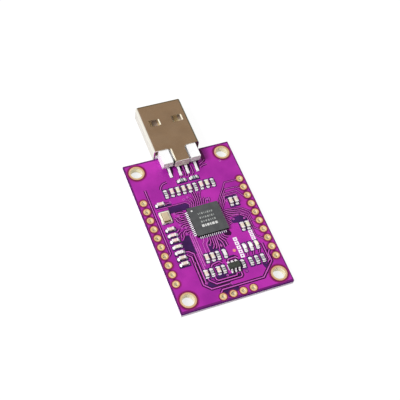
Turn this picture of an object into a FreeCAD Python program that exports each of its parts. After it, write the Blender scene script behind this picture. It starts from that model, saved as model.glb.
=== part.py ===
"""USB to serial adapter module: a board with a USB-A plug at one end and its parts on the upper face.

Lengths are in millimetres. X runs across the board, Y towards the plug and Z up from the board's
underside. The origin is the centre of the four mounting holes, on the underside.
"""

import FreeCAD, Part
import math
import os

# Board and its plated holes
header_row_spacing = 25.4
board_side_margin = 1.4
board_length = 42.0
board_thickness = 1.6
plating_thickness = 0.05

mounting_hole_diameter = 3.0
mounting_pad_width = 0.5
mounting_inset_x = 2.67
mounting_inset_y = 2.8

header_hole_count = 10
header_pitch = 2.54
header_hole_diameter = 1.0
header_pad_width = 0.375
header_hole_sides = 12
header_centre_y = -2.1

end_row_hole_count = 4
end_row_centre_x = 0.36
end_row_inset_y = 1.18

# Plug shell, one folded sheet
shell_width = 12.0
shell_height = 4.5
shell_wall = 0.3
shell_corner_radius = 0.65
shell_reach = 14.3
shell_sink = 1.4
shell_edge_gap = 0.1
seam_gap = 0.08
seam_key_width = 1.6
seam_key_flare = 0.35
seam_key_depth = 0.9
window_width = 2.5
window_length = 2.0
window_spacing = 6.0
window_front_distance = 5.8
tongue_width = 3.6
tongue_length = 4.3
tongue_root_radius = 1.0
flap_bend_radius = 0.5
flap_end_height = 0.85

# Plug insulator, one moulding
insulator_clearance = 0.05
carrier_thickness = 1.95
carrier_recess = 0.5
carrier_lead_in = 0.35
mouth_depth = 11.7
block_side_gap = 0.85
slot_width = 0.6
block_rise = 0.2
block_length = 4.0
block_gap = 0.2
overhang_height = 1.3
overhang_length = 0.7
peg_diameter = 1.1
peg_spacing = 4.5
peg_inset_y = 2.0
peg_end_gap = 0.3
peg_clearance = 0.05

# Plug contacts, four stamped strips
contact_offsets = (-3.5, -1.0, 1.0, 3.5)
contact_thickness = 0.2
contact_width = 1.0
lead_width = 0.6
contact_rise = 0.1
long_contact_recess = 1.1
short_contact_recess = 2.1
contact_slot_clearance = 0.02
contact_step_length = 0.9
lead_exit_height = 0.35
lead_shoulder = 0.3
lead_slope_length = 0.6
lead_foot_length = 1.5

# Controller, a square package with pads along all four sides
chip_centre_x = 0.5
chip_centre_y = 0.43
chip_size = 8.0
chip_height = 0.85
chip_pads_per_side = 14
chip_pad_pitch = 0.5
chip_pad_width = 0.23
chip_pad_length = 0.4
chip_pad_thickness = 0.2
chip_heat_pad_size = 5.6
chip_solder_reach = 0.6
chip_solder_height = 0.22
pin_mark_diameter = 0.6
pin_mark_depth = 0.03
pin_mark_inset = 1.0

# Regulator, a moulded body with three gull-wing leads on each side
regulator_offset_x = 1.4
regulator_offset_y = -13.73
regulator_length = 2.9
regulator_width = 1.6
regulator_height = 1.1
regulator_stand_off = 0.1
regulator_draft = 0.12
regulator_lead_pitch = 0.95
regulator_lead_width = 0.4
regulator_lead_thickness = 0.15
regulator_lead_span = 2.8
regulator_foot_length = 0.4

# Crystal, a ceramic tray with a metal lid
crystal_offset_x = -9.5
crystal_offset_y = 3.47
crystal_width = 2.5
crystal_length = 3.2
crystal_base_height = 0.5
crystal_lid_height = 0.3
crystal_lid_inset = 0.25
crystal_corner_radius = 0.3
crystal_notch_radius = 0.2
crystal_pad_width = 0.9
crystal_pad_length = 1.1
crystal_pad_spacing_x = 1.7
crystal_pad_spacing_y = 2.2

# Chip parts: a body with a proud metal band round each end
part_length = 1.6
part_width = 0.8
resistor_height = 0.45
capacitor_height = 0.8
band_length = 0.35
band_rise = 0.03
led_base_height = 0.3
led_lens_length = 1.0
led_lens_height = 0.4
led_lens_draft = 0.08

# Solder
solder_thickness = 0.05
solder_reach = 0.5
solder_end_height = 0.06
solder_climb = 0.6
solder_margin = 0.06

# Round test pad
test_pad_diameter = 0.8
test_pad_offset_x = 3.1
test_pad_offset_y = -9.78

# Places of the chip parts. The two rows beside the plug keep their distance from its leads.
small_row_gap = 1.15
small_row_offsets = (-1.4, 1.8)
usb_row_gap = 2.65
usb_row_start_x = -6.55
usb_row_pitch = 1.54
usb_row_kinds = ("resistor", "capacitor", "capacitor", "capacitor", "capacitor",
                 "resistor", "capacitor", "capacitor", "resistor")
left_column_offset_x = -9.45
left_column_top_offset_y = 7.27
left_column_start_offset_y = -0.03
left_column_pitch = 1.62
left_column_kinds = ("capacitor", "resistor", "capacitor", "resistor", "resistor", "capacitor", "capacitor")
pair_offset_x = 7.52
pair_pitch = 1.35
pair_offsets_y = (3.22, -4.18)
upper_row_offset_y = -9.83
upper_row_offsets = (-3.95, -2.5, -1.1, 0.6)
upper_row_kinds = ("capacitor", "capacitor", "resistor", "resistor")
lower_row_offset_y = -13.73
lower_row_offsets = (-5.6, -4.1, -2.5, -1.15, 3.75)
lower_row_kinds = ("capacitor", "resistor", "capacitor", "resistor", "resistor")
led_offset_x = 5.8
led_pitch = 1.55
led_count = 3

# Values that follow from the sizes above
board_width = header_row_spacing + 2 * board_side_margin
board_edge_y = board_length / 2
top = board_thickness
shell_rear_y = board_edge_y + shell_edge_gap
shell_front_y = shell_rear_y + shell_reach
shell_bottom_z = top - shell_sink
shell_top_z = shell_bottom_z + shell_height
inside_width = shell_width - 2 * shell_wall
inside_bottom_z = shell_bottom_z + shell_wall
inside_top_z = shell_top_z - shell_wall
tongue_rear_y = shell_rear_y - tongue_length
carrier_top_z = inside_bottom_z + insulator_clearance + carrier_thickness
block_inner_x = tongue_width / 2 + slot_width
block_outer_x = inside_width / 2 - block_side_gap
block_front_y = shell_rear_y - block_gap
block_rear_y = block_front_y - block_length
lead_tip_y = block_rear_y - lead_shoulder - lead_slope_length - lead_foot_length
small_row_y = lead_tip_y - small_row_gap - part_width / 2
usb_row_y = small_row_y - usb_row_gap

shapes = {}


def box(x0, x1, y0, y1, z0, z1):
    """A block between two corners."""
    return Part.makeBox(x1 - x0, y1 - y0, z1 - z0, FreeCAD.Vector(x0, y0, z0))


def centred_box(x, y, z0, width, length, height):
    """A block centred on a point of the board, standing on the height z0."""
    return box(x - width / 2, x + width / 2, y - length / 2, y + length / 2, z0, z0 + height)


def rod(x, y, z0, z1, diameter):
    """An upright round rod."""
    return Part.makeCylinder(diameter / 2, z1 - z0, FreeCAD.Vector(x, y, z0))


def sided_rod(x, y, z0, z1, diameter, sides):
    """An upright rod with flat sides, whose section has the area of the round one."""
    sector = math.sin(2 * math.pi / sides) / 2
    reach = diameter / 2 * math.sqrt(math.pi / (sides * sector))
    corners = []
    for i in range(sides):
        angle = 2 * math.pi * (i + 0.5) / sides
        corners.append(FreeCAD.Vector(x + reach * math.cos(angle), y + reach * math.sin(angle), z0))
    return prism(corners, FreeCAD.Vector(0, 0, z1 - z0))


def prism(points, direction):
    """A closed flat outline carried along a direction."""
    wire = Part.makePolygon(list(points) + [points[0]])
    return Part.Face(wire).extrude(direction)


def profile_across(points, x0, x1):
    """An outline drawn in Y and Z, carried across the board from x0 to x1."""
    corners = [FreeCAD.Vector(x0, y, z) for y, z in points]
    return prism(corners, FreeCAD.Vector(x1 - x0, 0, 0))


def rounded_outline(width, height, radius, centre_z, y):
    """A rectangle with round corners in the XZ plane, as a wire."""
    x = width / 2
    z = height / 2
    bend = radius * (1 - math.sqrt(0.5))

    def point(px, pz):
        return FreeCAD.Vector(px, y, centre_z + pz)

    edges = []
    for sx, sz in ((1, 1), (-1, 1), (-1, -1), (1, -1)):
        first = point(sx * (x - radius), sz * z)
        middle = point(sx * (x - bend), sz * (z - bend))
        last = point(sx * x, sz * (z - radius))
        if sx * sz > 0:
            first, last = last, first
        edges.append(Part.Arc(first, middle, last).toShape())
    loop = []
    for index, arc in enumerate(edges):
        following = edges[(index + 1) % 4]
        loop.append(arc)
        end = arc.lastVertex(True).Point
        start = following.firstVertex(True).Point
        loop.append(Part.LineSegment(end, start).toShape())
    return Part.Wire(Part.__sortEdges__(loop))


def rounded_bar(width, height, radius, centre_z, y0, y1):
    """A bar with a rounded rectangle for its section, running along Y."""
    face = Part.Face(rounded_outline(width, height, radius, centre_z, y0))
    return face.extrude(FreeCAD.Vector(0, y1 - y0, 0))


def strip_outline(path, thickness):
    """The outline of a bent strip: its middle line moved half the thickness to each side."""
    half = thickness / 2
    directions = []
    for (y0, z0), (y1, z1) in zip(path, path[1:]):
        length = math.hypot(y1 - y0, z1 - z0)
        directions.append(((y1 - y0) / length, (z1 - z0) / length))
    left = []
    right = []
    for index, (y, z) in enumerate(path):
        before = directions[max(index - 1, 0)]
        after = directions[min(index, len(directions) - 1)]
        ny = -(before[1] + after[1])
        nz = before[0] + after[0]
        scale = half / ((ny * -before[1] + nz * before[0]) or 1)
        left.append((y + ny * scale, z + nz * scale))
        right.append((y - ny * scale, z - nz * scale))
    return left + right[::-1]


def turned(shape, x, y, quarter_turns):
    """The shape turned about an upright line through a point of the board."""
    shape.rotate(FreeCAD.Vector(x, y, 0), FreeCAD.Vector(0, 0, 1), 90 * quarter_turns)
    return shape


def plated_ring(x, y, hole_diameter, pad_width):
    """A plated barrel through the board with a flat pad on each face, as one turned spool."""
    inner = hole_diameter / 2
    barrel = inner + plating_thickness
    rim = inner + pad_width
    low = -plating_thickness
    high = top + plating_thickness
    section = [(inner, low), (rim, low), (rim, 0), (barrel, 0), (barrel, top), (rim, top), (rim, high), (inner, high)]
    corners = [FreeCAD.Vector(x + r, y, z) for r, z in section]
    face = Part.Face(Part.makePolygon(corners + [corners[0]]))
    return face.revolve(FreeCAD.Vector(x, y, 0), FreeCAD.Vector(0, 0, 1), 360)


def plated_tube(x, y, hole_diameter, pad_width):
    """A small plated hole as a plain tube, as wide all the way down as the pads at its ends. It is repeated along
    three rows, so it has a few flat sides in place of the round one."""
    low = -plating_thickness
    high = top + plating_thickness
    outside = sided_rod(x, y, low, high, hole_diameter + 2 * pad_width, header_hole_sides)
    return outside.cut(sided_rod(x, y, low, high, hole_diameter, header_hole_sides))


def mounting_places():
    """The four corners of the mounting pattern."""
    x = board_width / 2 - mounting_inset_x
    y = board_edge_y - mounting_inset_y
    return [(sx * x, sy * y) for sy in (1, -1) for sx in (-1, 1)]


def header_places(side):
    """The header holes along one side, -1 for the left and 1 for the right."""
    first = header_centre_y + header_pitch * (header_hole_count - 1) / 2
    return [(side * header_row_spacing / 2, first - header_pitch * i) for i in range(header_hole_count)]


def end_row_places():
    """The row of holes at the end away from the plug."""
    first = end_row_centre_x - header_pitch * (end_row_hole_count - 1) / 2
    return [(first + header_pitch * i, end_row_inset_y - board_edge_y) for i in range(end_row_hole_count)]


def peg_places():
    """The two locating pegs under the plug's insulator."""
    return [(side * peg_spacing / 2, board_edge_y - peg_inset_y) for side in (-1, 1)]


def make_board():
    """The laminate with every drilled hole, the plug's two peg holes among them."""
    board = centred_box(0, 0, 0, board_width, board_length, board_thickness)
    mounting_drill = mounting_hole_diameter + 2 * plating_thickness
    header_drill = header_hole_diameter + 2 * header_pad_width
    peg_drill = peg_diameter + 2 * peg_clearance
    small_places = header_places(-1) + header_places(1) + end_row_places()
    drills = [rod(x, y, 0, top, mounting_drill) for x, y in mounting_places()]
    drills += [sided_rod(x, y, 0, top, header_drill, header_hole_sides) for x, y in small_places]
    drills += [rod(x, y, 0, top, peg_drill) for x, y in peg_places()]
    shapes["circuit_board"] = board.cut(Part.makeCompound(drills))


def make_rings():
    """The plated holes, one group for the mounting holes and one for each row."""
    rings = [plated_ring(x, y, mounting_hole_diameter, mounting_pad_width) for x, y in mounting_places()]
    shapes["mounting_hole_rings"] = Part.makeCompound(rings)
    rows = {
        "header_hole_rings_left": header_places(-1),
        "header_hole_rings_right": header_places(1),
        "end_row_hole_rings": end_row_places(),
    }
    for name, places in rows.items():
        tubes = [plated_tube(x, y, header_hole_diameter, header_pad_width) for x, y in places]
        shapes[name] = Part.makeCompound(tubes)


def seam_cut():
    """The narrow gap where the sheet's two edges meet under the plug, with one dovetail key."""
    z0 = shell_bottom_z - shell_wall
    z1 = inside_bottom_z + shell_wall
    middle_y = (shell_rear_y + shell_front_y) / 2
    root = seam_key_width / 2
    flare = root + seam_key_flare
    path = [
        (0, shell_rear_y - seam_gap),
        (0, middle_y - root),
        (seam_key_depth, middle_y - flare),
        (seam_key_depth, middle_y + flare),
        (0, middle_y + root),
        (0, shell_front_y + seam_gap),
    ]
    outline = strip_outline(path, seam_gap)
    corners = [FreeCAD.Vector(x, y, z0) for x, y in outline]
    return prism(corners, FreeCAD.Vector(0, 0, z1 - z0))


def make_tongue():
    """The upper sheet's tongue over the insulator's middle, with its root fillets and bent-down flap."""
    half = tongue_width / 2
    fillet = tongue_root_radius
    bend_y = tongue_rear_y + flap_bend_radius
    sheet = box(-half, half, bend_y, shell_rear_y, inside_top_z, shell_top_z)
    for side in (-1, 1):
        corner_x = side * half
        x0, x1 = sorted((corner_x, corner_x + side * fillet))
        web = box(x0, x1, shell_rear_y - fillet, shell_rear_y, inside_top_z, shell_top_z)
        round_x = corner_x + side * fillet
        web = web.cut(rod(round_x, shell_rear_y - fillet, inside_top_z, shell_top_z, 2 * fillet))
        sheet = sheet.fuse(web)
    inner = flap_bend_radius - shell_wall
    axis_z = shell_top_z - flap_bend_radius
    bend = Part.makeCylinder(flap_bend_radius, tongue_width, FreeCAD.Vector(-half, bend_y, axis_z),
                             FreeCAD.Vector(1, 0, 0))
    bend = bend.cut(Part.makeCylinder(inner, tongue_width, FreeCAD.Vector(-half, bend_y, axis_z),
                                      FreeCAD.Vector(1, 0, 0)))
    quarter = bend.common(box(-half, half, tongue_rear_y, bend_y, axis_z, shell_top_z))
    flap = box(-half, half, tongue_rear_y, tongue_rear_y + shell_wall, top + flap_end_height, axis_z)
    return sheet.fuse([quarter, flap])


def make_shell():
    """The plug's metal shell: a folded tube with four windows, an underside seam and the rear tongue."""
    centre_z = (shell_bottom_z + shell_top_z) / 2
    outer = rounded_bar(shell_width, shell_height, shell_corner_radius, centre_z, shell_rear_y, shell_front_y)
    inner = rounded_bar(inside_width, shell_height - 2 * shell_wall, shell_corner_radius - shell_wall, centre_z,
                        shell_rear_y, shell_front_y)
    tube = outer.cut(inner)
    window_y = shell_front_y - window_front_distance
    for side in (-1, 1):
        tube = tube.cut(centred_box(side * window_spacing / 2, window_y, shell_bottom_z,
                                    window_width, window_length, shell_height))
    tube = tube.cut(seam_cut())
    shapes["usb_shell"] = tube.fuse(make_tongue()).removeSplitter()


def contact_path(recess):
    """The middle line of a contact, from its tip in the mouth to its foot on the board."""
    front_z = carrier_top_z + contact_rise - contact_thickness / 2
    exit_z = top + lead_exit_height
    foot_z = top + solder_thickness + contact_thickness / 2
    step_y = board_edge_y
    heel_y = block_rear_y - lead_shoulder
    toe_y = heel_y - lead_slope_length
    return [
        (shell_front_y - recess, front_z),
        (step_y + contact_step_length, front_z),
        (step_y, exit_z),
        (heel_y, exit_z),
        (toe_y, foot_z),
        (lead_tip_y, foot_z),
    ]


def contact_solid(x, recess, clearance):
    """A contact, or with a clearance the slot that it lies in: a wide blade and a narrower lead."""
    outline = strip_outline(contact_path(recess), contact_thickness + 2 * clearance)
    far = 2 * (shell_front_y - lead_tip_y)
    waist_y = board_edge_y + contact_step_length
    whole = profile_across(outline, x - contact_width / 2 - clearance, x + contact_width / 2 + clearance)
    blade = whole.common(box(x - far, x + far, waist_y, waist_y + far, -far, far))
    half = lead_width / 2 + clearance
    lead = whole.common(box(x - half, x + half, waist_y - far, waist_y, -far, far))
    return blade.fuse(lead).removeSplitter()


def contact_recesses():
    """The outer two contacts reach further forward than the inner two."""
    return [long_contact_recess, short_contact_recess, short_contact_recess, long_contact_recess]


def make_contacts():
    """The four contacts, numbered from the left."""
    for index, (x, recess) in enumerate(zip(contact_offsets, contact_recesses()), 1):
        shapes[f"usb_contact_{index}"] = contact_solid(x, recess, 0)


def make_insulator():
    """The white moulding: contact carrier, plug body, slab on the board, three blocks and two pegs."""
    gap = insulator_clearance
    carrier_half = inside_width / 2 - gap
    carrier_front = shell_front_y - carrier_recess
    carrier_bottom = inside_bottom_z + gap
    carrier = profile_across([
        (shell_rear_y, carrier_bottom),
        (carrier_front, carrier_bottom),
        (carrier_front, carrier_top_z - carrier_lead_in),
        (carrier_front - carrier_lead_in, carrier_top_z),
        (shell_rear_y, carrier_top_z),
    ], -carrier_half, carrier_half)
    edge_cut = shell_corner_radius - shell_wall
    for side in (-1, 1):
        x0, x1 = sorted((side * carrier_half, side * (carrier_half - edge_cut)))
        carrier = carrier.cut(box(x0, x1, shell_rear_y, carrier_front, carrier_bottom, carrier_bottom + edge_cut))
    body_front = shell_front_y - mouth_depth
    body = box(-block_outer_x, block_outer_x, shell_rear_y, body_front, carrier_bottom, inside_top_z - gap)
    slab_rear = block_rear_y + overhang_length
    slab_top = top + overhang_height
    slab = box(-block_outer_x, block_outer_x, slab_rear, shell_rear_y, top, slab_top)
    neck = box(-block_outer_x, block_outer_x, block_front_y, shell_rear_y, top, inside_top_z - gap)
    middle_rear = tongue_rear_y + shell_wall + gap
    middle = box(-tongue_width / 2, tongue_width / 2, middle_rear, block_front_y, slab_top, inside_top_z - gap)
    middle = round_rear_edge(middle, middle_rear, inside_top_z - gap)
    pieces = [body, slab, neck, middle]
    for side in (-1, 1):
        x0, x1 = sorted((side * block_inner_x, side * block_outer_x))
        pieces.append(box(x0, x1, block_rear_y, block_front_y, slab_top, inside_top_z + block_rise))
    for x, y in peg_places():
        pieces.append(rod(x, y, peg_end_gap, top, peg_diameter))
    insulator = carrier.fuse(pieces).removeSplitter()
    slots = [contact_solid(x, recess, contact_slot_clearance)
             for x, recess in zip(contact_offsets, contact_recesses())]
    shapes["usb_insulator"] = insulator.cut(Part.makeCompound(slots))


def round_rear_edge(block, y, z):
    """The middle block's upper rear edge, rounded to lie under the tongue's bend."""
    edges = []
    for edge in block.Edges:
        middle = edge.CenterOfMass
        if abs(middle.y - y) < 1e-6 and abs(middle.z - z) < 1e-6:
            edges.append(edge)
    return block.makeFillet(flap_bend_radius - shell_wall, edges)


def side_places():
    """Each edge pad of the controller: its distance along its side and the side's quarter turn."""
    first = -chip_pad_pitch * (chip_pads_per_side - 1) / 2
    return [(first + chip_pad_pitch * i, turn) for turn in range(4) for i in range(chip_pads_per_side)]


def make_chip():
    """The controller's moulded body over its lead frame, and a solder fillet in front of each pad."""
    x, y = chip_centre_x, chip_centre_y
    half = chip_size / 2
    leads = []
    fillets = []
    for along, turn in side_places():
        lead = centred_box(x + along, y - half + chip_pad_length / 2, top,
                           chip_pad_width, chip_pad_length, chip_pad_thickness)
        leads.append(turned(lead, x, y, turn))
        fillet = profile_across([
            (y - half, top),
            (y - half, top + chip_solder_height),
            (y - half - chip_solder_reach, top + solder_thickness),
            (y - half - chip_solder_reach, top),
        ], x + along - chip_pad_width / 2, x + along + chip_pad_width / 2)
        fillets.append(turned(fillet, x, y, turn))
    leads.append(centred_box(x, y, top, chip_heat_pad_size, chip_heat_pad_size, chip_pad_thickness))
    body = centred_box(x, y, top, chip_size, chip_size, chip_height)
    mark_x = x - half + pin_mark_inset
    mark_y = y + half - pin_mark_inset
    mark_z = top + chip_height
    mark = rod(mark_x, mark_y, mark_z - pin_mark_depth, mark_z, pin_mark_diameter)
    shapes["main_chip"] = body.cut(Part.makeCompound(leads + [mark]))
    shapes["main_chip_leads"] = Part.makeCompound(leads)
    shapes["main_chip_solder"] = Part.makeCompound(fillets)


def rectangle_wire(x, y, z, width, length):
    """A level rectangle as a wire."""
    corners = [FreeCAD.Vector(x + sx * width / 2, y + sy * length / 2, z)
               for sx, sy in ((-1, -1), (1, -1), (1, 1), (-1, 1))]
    return Part.makePolygon(corners + [corners[0]])


def regulator_place():
    """The middle of the regulator."""
    return chip_centre_x + regulator_offset_x, chip_centre_y + regulator_offset_y


def regulator_lead_path(y):
    """The middle line of one lead, from inside the body's wall out and down to the board."""
    half_thickness = regulator_lead_thickness / 2
    exit_z = top + (regulator_stand_off + regulator_height) / 2
    foot_z = top + solder_thickness + half_thickness
    wall_y = y - regulator_width / 2
    tip_y = y - regulator_lead_span / 2
    heel_y = tip_y + regulator_foot_length
    return [(wall_y, exit_z), ((wall_y + heel_y) / 2 - half_thickness, exit_z), (heel_y, foot_z), (tip_y, foot_z)]


def make_regulator():
    """The regulator: a moulded body that tapers from its parting line, and six gull-wing leads."""
    x, y = regulator_place()
    low = top + regulator_stand_off
    high = top + regulator_height
    middle = (low + high) / 2
    half = regulator_lead_thickness / 2
    small = (regulator_length - 2 * regulator_draft, regulator_width - 2 * regulator_draft)
    full = (regulator_length, regulator_width)
    levels = ((low, small), (middle - half, full), (middle + half, full), (high, small))
    wires = [rectangle_wire(x, y, z, *size) for z, size in levels]
    shapes["regulator_body"] = Part.makeLoft(wires, True, True)
    outline = strip_outline(regulator_lead_path(y), regulator_lead_thickness)
    leads = []
    for turn in (0, 2):
        for step in (-1, 0, 1):
            middle_x = x + step * regulator_lead_pitch
            lead = profile_across(outline, middle_x - regulator_lead_width / 2, middle_x + regulator_lead_width / 2)
            leads.append(turned(lead, x, y, turn))
    shapes["regulator_leads"] = Part.makeCompound(leads)


def crystal_place():
    """The middle of the crystal."""
    return chip_centre_x + crystal_offset_x, chip_centre_y + crystal_offset_y


def upright_edges(shape):
    """The edges of a shape that stand upright."""
    return [edge for edge in shape.Edges if abs(edge.tangentAt(edge.FirstParameter).z) > 0.99]


def make_crystal():
    """The crystal: a ceramic tray with a round notch at each corner, under a metal lid."""
    x, y = crystal_place()
    tray = centred_box(x, y, top + solder_thickness, crystal_width, crystal_length, crystal_base_height)
    low = top + solder_thickness
    high = low + crystal_base_height
    notches = [rod(x + sx * crystal_width / 2, y + sy * crystal_length / 2, low, high, 2 * crystal_notch_radius)
               for sx in (-1, 1) for sy in (-1, 1)]
    shapes["crystal_base"] = tray.cut(Part.makeCompound(notches))
    lid = centred_box(x, y, high, crystal_width - 2 * crystal_lid_inset, crystal_length - 2 * crystal_lid_inset,
                      crystal_lid_height)
    shapes["crystal_lid"] = lid.makeFillet(crystal_corner_radius, upright_edges(lid))


def chip_part(x, y, height):
    """A chip resistor or capacitor along Y: a plain body with a proud metal band round each end."""
    body = centred_box(x, y, top + band_rise, part_width - 2 * band_rise, part_length, height - 2 * band_rise)
    bands = []
    for side in (-1, 1):
        band_y = y + side * (part_length - band_length) / 2
        bands.append(centred_box(x, band_y, top, part_width, band_length, height))
    return body.fuse(bands).removeSplitter()


def led_part(x, y):
    """A lamp along Y: a flat base with a tapering lens block on it."""
    base = centred_box(x, y, top, part_width, part_length, led_base_height)
    lens_low = rectangle_wire(x, y, top + led_base_height, part_width, led_lens_length)
    lens_high = rectangle_wire(x, y, top + led_base_height + led_lens_height,
                               part_width - 2 * led_lens_draft, led_lens_length - 2 * led_lens_draft)
    lens = Part.makeLoft([lens_low, lens_high], True, True)
    return base.fuse(lens)


def end_fillet(x, y, height):
    """The solder at the -Y end of a part that lies along Y."""
    face_y = y - part_length / 2
    half = part_width / 2 + solder_margin
    return profile_across([
        (face_y, top),
        (face_y, top + solder_climb * height),
        (face_y - solder_reach, top + solder_end_height),
        (face_y - solder_reach, top),
    ], x - half, x + half)


def small_parts():
    """Every chip part: its kind, place and whether it lies across the board."""
    parts = []
    for i, kind in enumerate(usb_row_kinds):
        parts.append((kind, usb_row_start_x + i * usb_row_pitch, usb_row_y, False))
    for x in small_row_offsets:
        parts.append(("resistor", x, small_row_y, True))
    column_x = chip_centre_x + left_column_offset_x
    parts.append(("capacitor", column_x, chip_centre_y + left_column_top_offset_y, True))
    for i, kind in enumerate(left_column_kinds):
        y = chip_centre_y + left_column_start_offset_y - i * left_column_pitch
        parts.append((kind, column_x, y, True))
    for offset_y in pair_offsets_y:
        for i in range(2):
            x = chip_centre_x + pair_offset_x + i * pair_pitch
            parts.append(("capacitor", x, chip_centre_y + offset_y, False))
    for kind, offset_x in zip(upper_row_kinds, upper_row_offsets):
        parts.append((kind, chip_centre_x + offset_x, chip_centre_y + upper_row_offset_y, False))
    for kind, offset_x in zip(lower_row_kinds, lower_row_offsets):
        parts.append((kind, chip_centre_x + offset_x, chip_centre_y + lower_row_offset_y, False))
    for i in range(led_count):
        x = chip_centre_x + led_offset_x + i * led_pitch
        parts.append(("led", x, chip_centre_y + upper_row_offset_y, False))
        parts.append(("resistor", x, chip_centre_y + lower_row_offset_y, False))
    return parts


def make_small_parts():
    """The chip parts and lamps, numbered by kind, and the solder at their ends."""
    heights = {"resistor": resistor_height, "capacitor": capacitor_height, "led": led_base_height}
    counts = dict.fromkeys(heights, 0)
    joints = []
    for kind, x, y, across in small_parts():
        counts[kind] += 1
        height = heights[kind]
        solid = led_part(x, y) if kind == "led" else chip_part(x, y, height)
        turn = 1 if across else 0
        shapes[f"{kind}_{counts[kind]}"] = turned(solid, x, y, turn)
        joints += [turned(end_fillet(x, y, height), x, y, turn + end) for end in (0, 2)]
    return joints


def make_solder(joints):
    """All solder in one group: part ends, plug feet, regulator feet and the crystal's corners."""
    foot_y = lead_tip_y + lead_foot_length / 2
    for x in contact_offsets:
        joints.append(centred_box(x, foot_y, top, lead_width + 2 * solder_margin,
                                  lead_foot_length + 2 * solder_reach, solder_thickness))
    x, y = regulator_place()
    foot = (regulator_lead_span - regulator_foot_length) / 2
    for side in (-1, 1):
        for step in (-1, 0, 1):
            joints.append(centred_box(x + step * regulator_lead_pitch, y + side * foot, top,
                                      regulator_lead_width + 2 * solder_margin,
                                      regulator_foot_length + solder_reach, solder_thickness))
    x, y = crystal_place()
    for sx in (-1, 1):
        for sy in (-1, 1):
            joints.append(centred_box(x + sx * crystal_pad_spacing_x / 2, y + sy * crystal_pad_spacing_y / 2, top,
                                      crystal_pad_width, crystal_pad_length, solder_thickness))
    shapes["solder_joints"] = Part.makeCompound(joints)


def make_test_pad():
    """The round bare pad between the rows and the regulator."""
    x = chip_centre_x + test_pad_offset_x
    y = chip_centre_y + test_pad_offset_y
    shapes["test_pad"] = rod(x, y, top, top + plating_thickness, test_pad_diameter)


def save():
    """One file for each node, named as the node."""
    os.makedirs("parts", exist_ok=True)
    for name, shape in shapes.items():
        shape.exportStep(f"parts/{name}.step")
    print(len(shapes), "nodes,", sum(len(shape.Solids) for shape in shapes.values()), "solids")


make_board()
make_rings()
make_shell()
make_contacts()
make_insulator()
make_chip()
make_regulator()
make_crystal()
make_solder(make_small_parts())
make_test_pad()
save()
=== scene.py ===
# %% [markdown]
# # A purple USB to serial module, dressed for its portrait
#
# The frame that this lesson starts from is a plain solid model: the board, its plated holes, the plug, the
# chips and about forty small parts. Here every surface gets its finish, and what is too thin for the solid
# model is added on top: copper tracks under the mask, clearances, vias, solder and print.
# Lengths are written in millimetres, as on a drawing, and turned into metres when a mesh is made.

import math

import bmesh
import bpy
import numpy as np
from mathutils import Matrix, Vector


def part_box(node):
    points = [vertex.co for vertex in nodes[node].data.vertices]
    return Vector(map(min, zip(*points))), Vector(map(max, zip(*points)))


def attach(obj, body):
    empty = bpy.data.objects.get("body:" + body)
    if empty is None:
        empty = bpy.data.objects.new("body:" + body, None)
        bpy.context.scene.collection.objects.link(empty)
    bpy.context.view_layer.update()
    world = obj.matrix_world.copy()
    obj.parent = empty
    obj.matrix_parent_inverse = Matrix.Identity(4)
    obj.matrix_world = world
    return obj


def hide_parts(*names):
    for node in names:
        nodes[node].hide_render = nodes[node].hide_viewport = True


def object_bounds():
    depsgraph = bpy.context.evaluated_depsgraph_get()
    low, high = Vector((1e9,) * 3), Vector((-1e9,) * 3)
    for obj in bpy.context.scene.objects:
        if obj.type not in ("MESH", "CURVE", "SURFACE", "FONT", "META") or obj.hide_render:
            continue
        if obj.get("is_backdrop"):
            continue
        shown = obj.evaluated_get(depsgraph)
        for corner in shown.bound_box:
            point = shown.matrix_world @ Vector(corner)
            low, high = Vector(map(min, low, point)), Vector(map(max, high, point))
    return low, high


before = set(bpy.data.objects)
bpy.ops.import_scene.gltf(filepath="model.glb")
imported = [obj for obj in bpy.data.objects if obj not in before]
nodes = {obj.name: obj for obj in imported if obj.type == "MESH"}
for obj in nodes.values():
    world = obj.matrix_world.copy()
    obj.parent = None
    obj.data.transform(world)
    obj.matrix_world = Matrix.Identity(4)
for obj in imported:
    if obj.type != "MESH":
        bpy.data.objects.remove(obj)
solid_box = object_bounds()
MM = 0.001


def box_mm(node):
    """The lowest and highest corner of a node, in millimetres."""
    low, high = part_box(node)
    return np.array(low) / MM, np.array(high) / MM


def named(start):
    """The nodes whose names begin with a word."""
    return sorted(name for name in nodes if name.startswith(start))


board_low, board_high = box_mm("circuit_board")
TOP = board_high[2]
print(len(nodes), "nodes, board", np.round(board_high - board_low, 2), "mm")

# %% [markdown]
# ## Shapes as grids of points
#
# Nearly every small thing on a board is a bar, a ring or a block with soft edges. Each can be typed vertex by
# vertex, built from stock cubes, or worked out as whole arrays. Arrays are chosen here, because one call then
# makes every track or every solder fillet at once. A shape is a pair: its points, and a list of face arrays.

# %% Bars and rings


def bars(grid):
    """Closed bars, where grid[bar, section, corner] is a point: quads join neighbouring sections all round,
    and the first and last section of each bar are its end faces."""
    count, rows, columns, _ = grid.shape
    index = np.arange(count * rows * columns).reshape(count, rows, columns)
    turn = np.roll(index, -1, axis=2)
    quads = np.stack([index[:, :-1], turn[:, :-1], turn[:, 1:], index[:, 1:]], -1).reshape(-1, 4)
    return grid.reshape(-1, 3), [quads, index[:, 0, ::-1], index[:, -1]]


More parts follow.
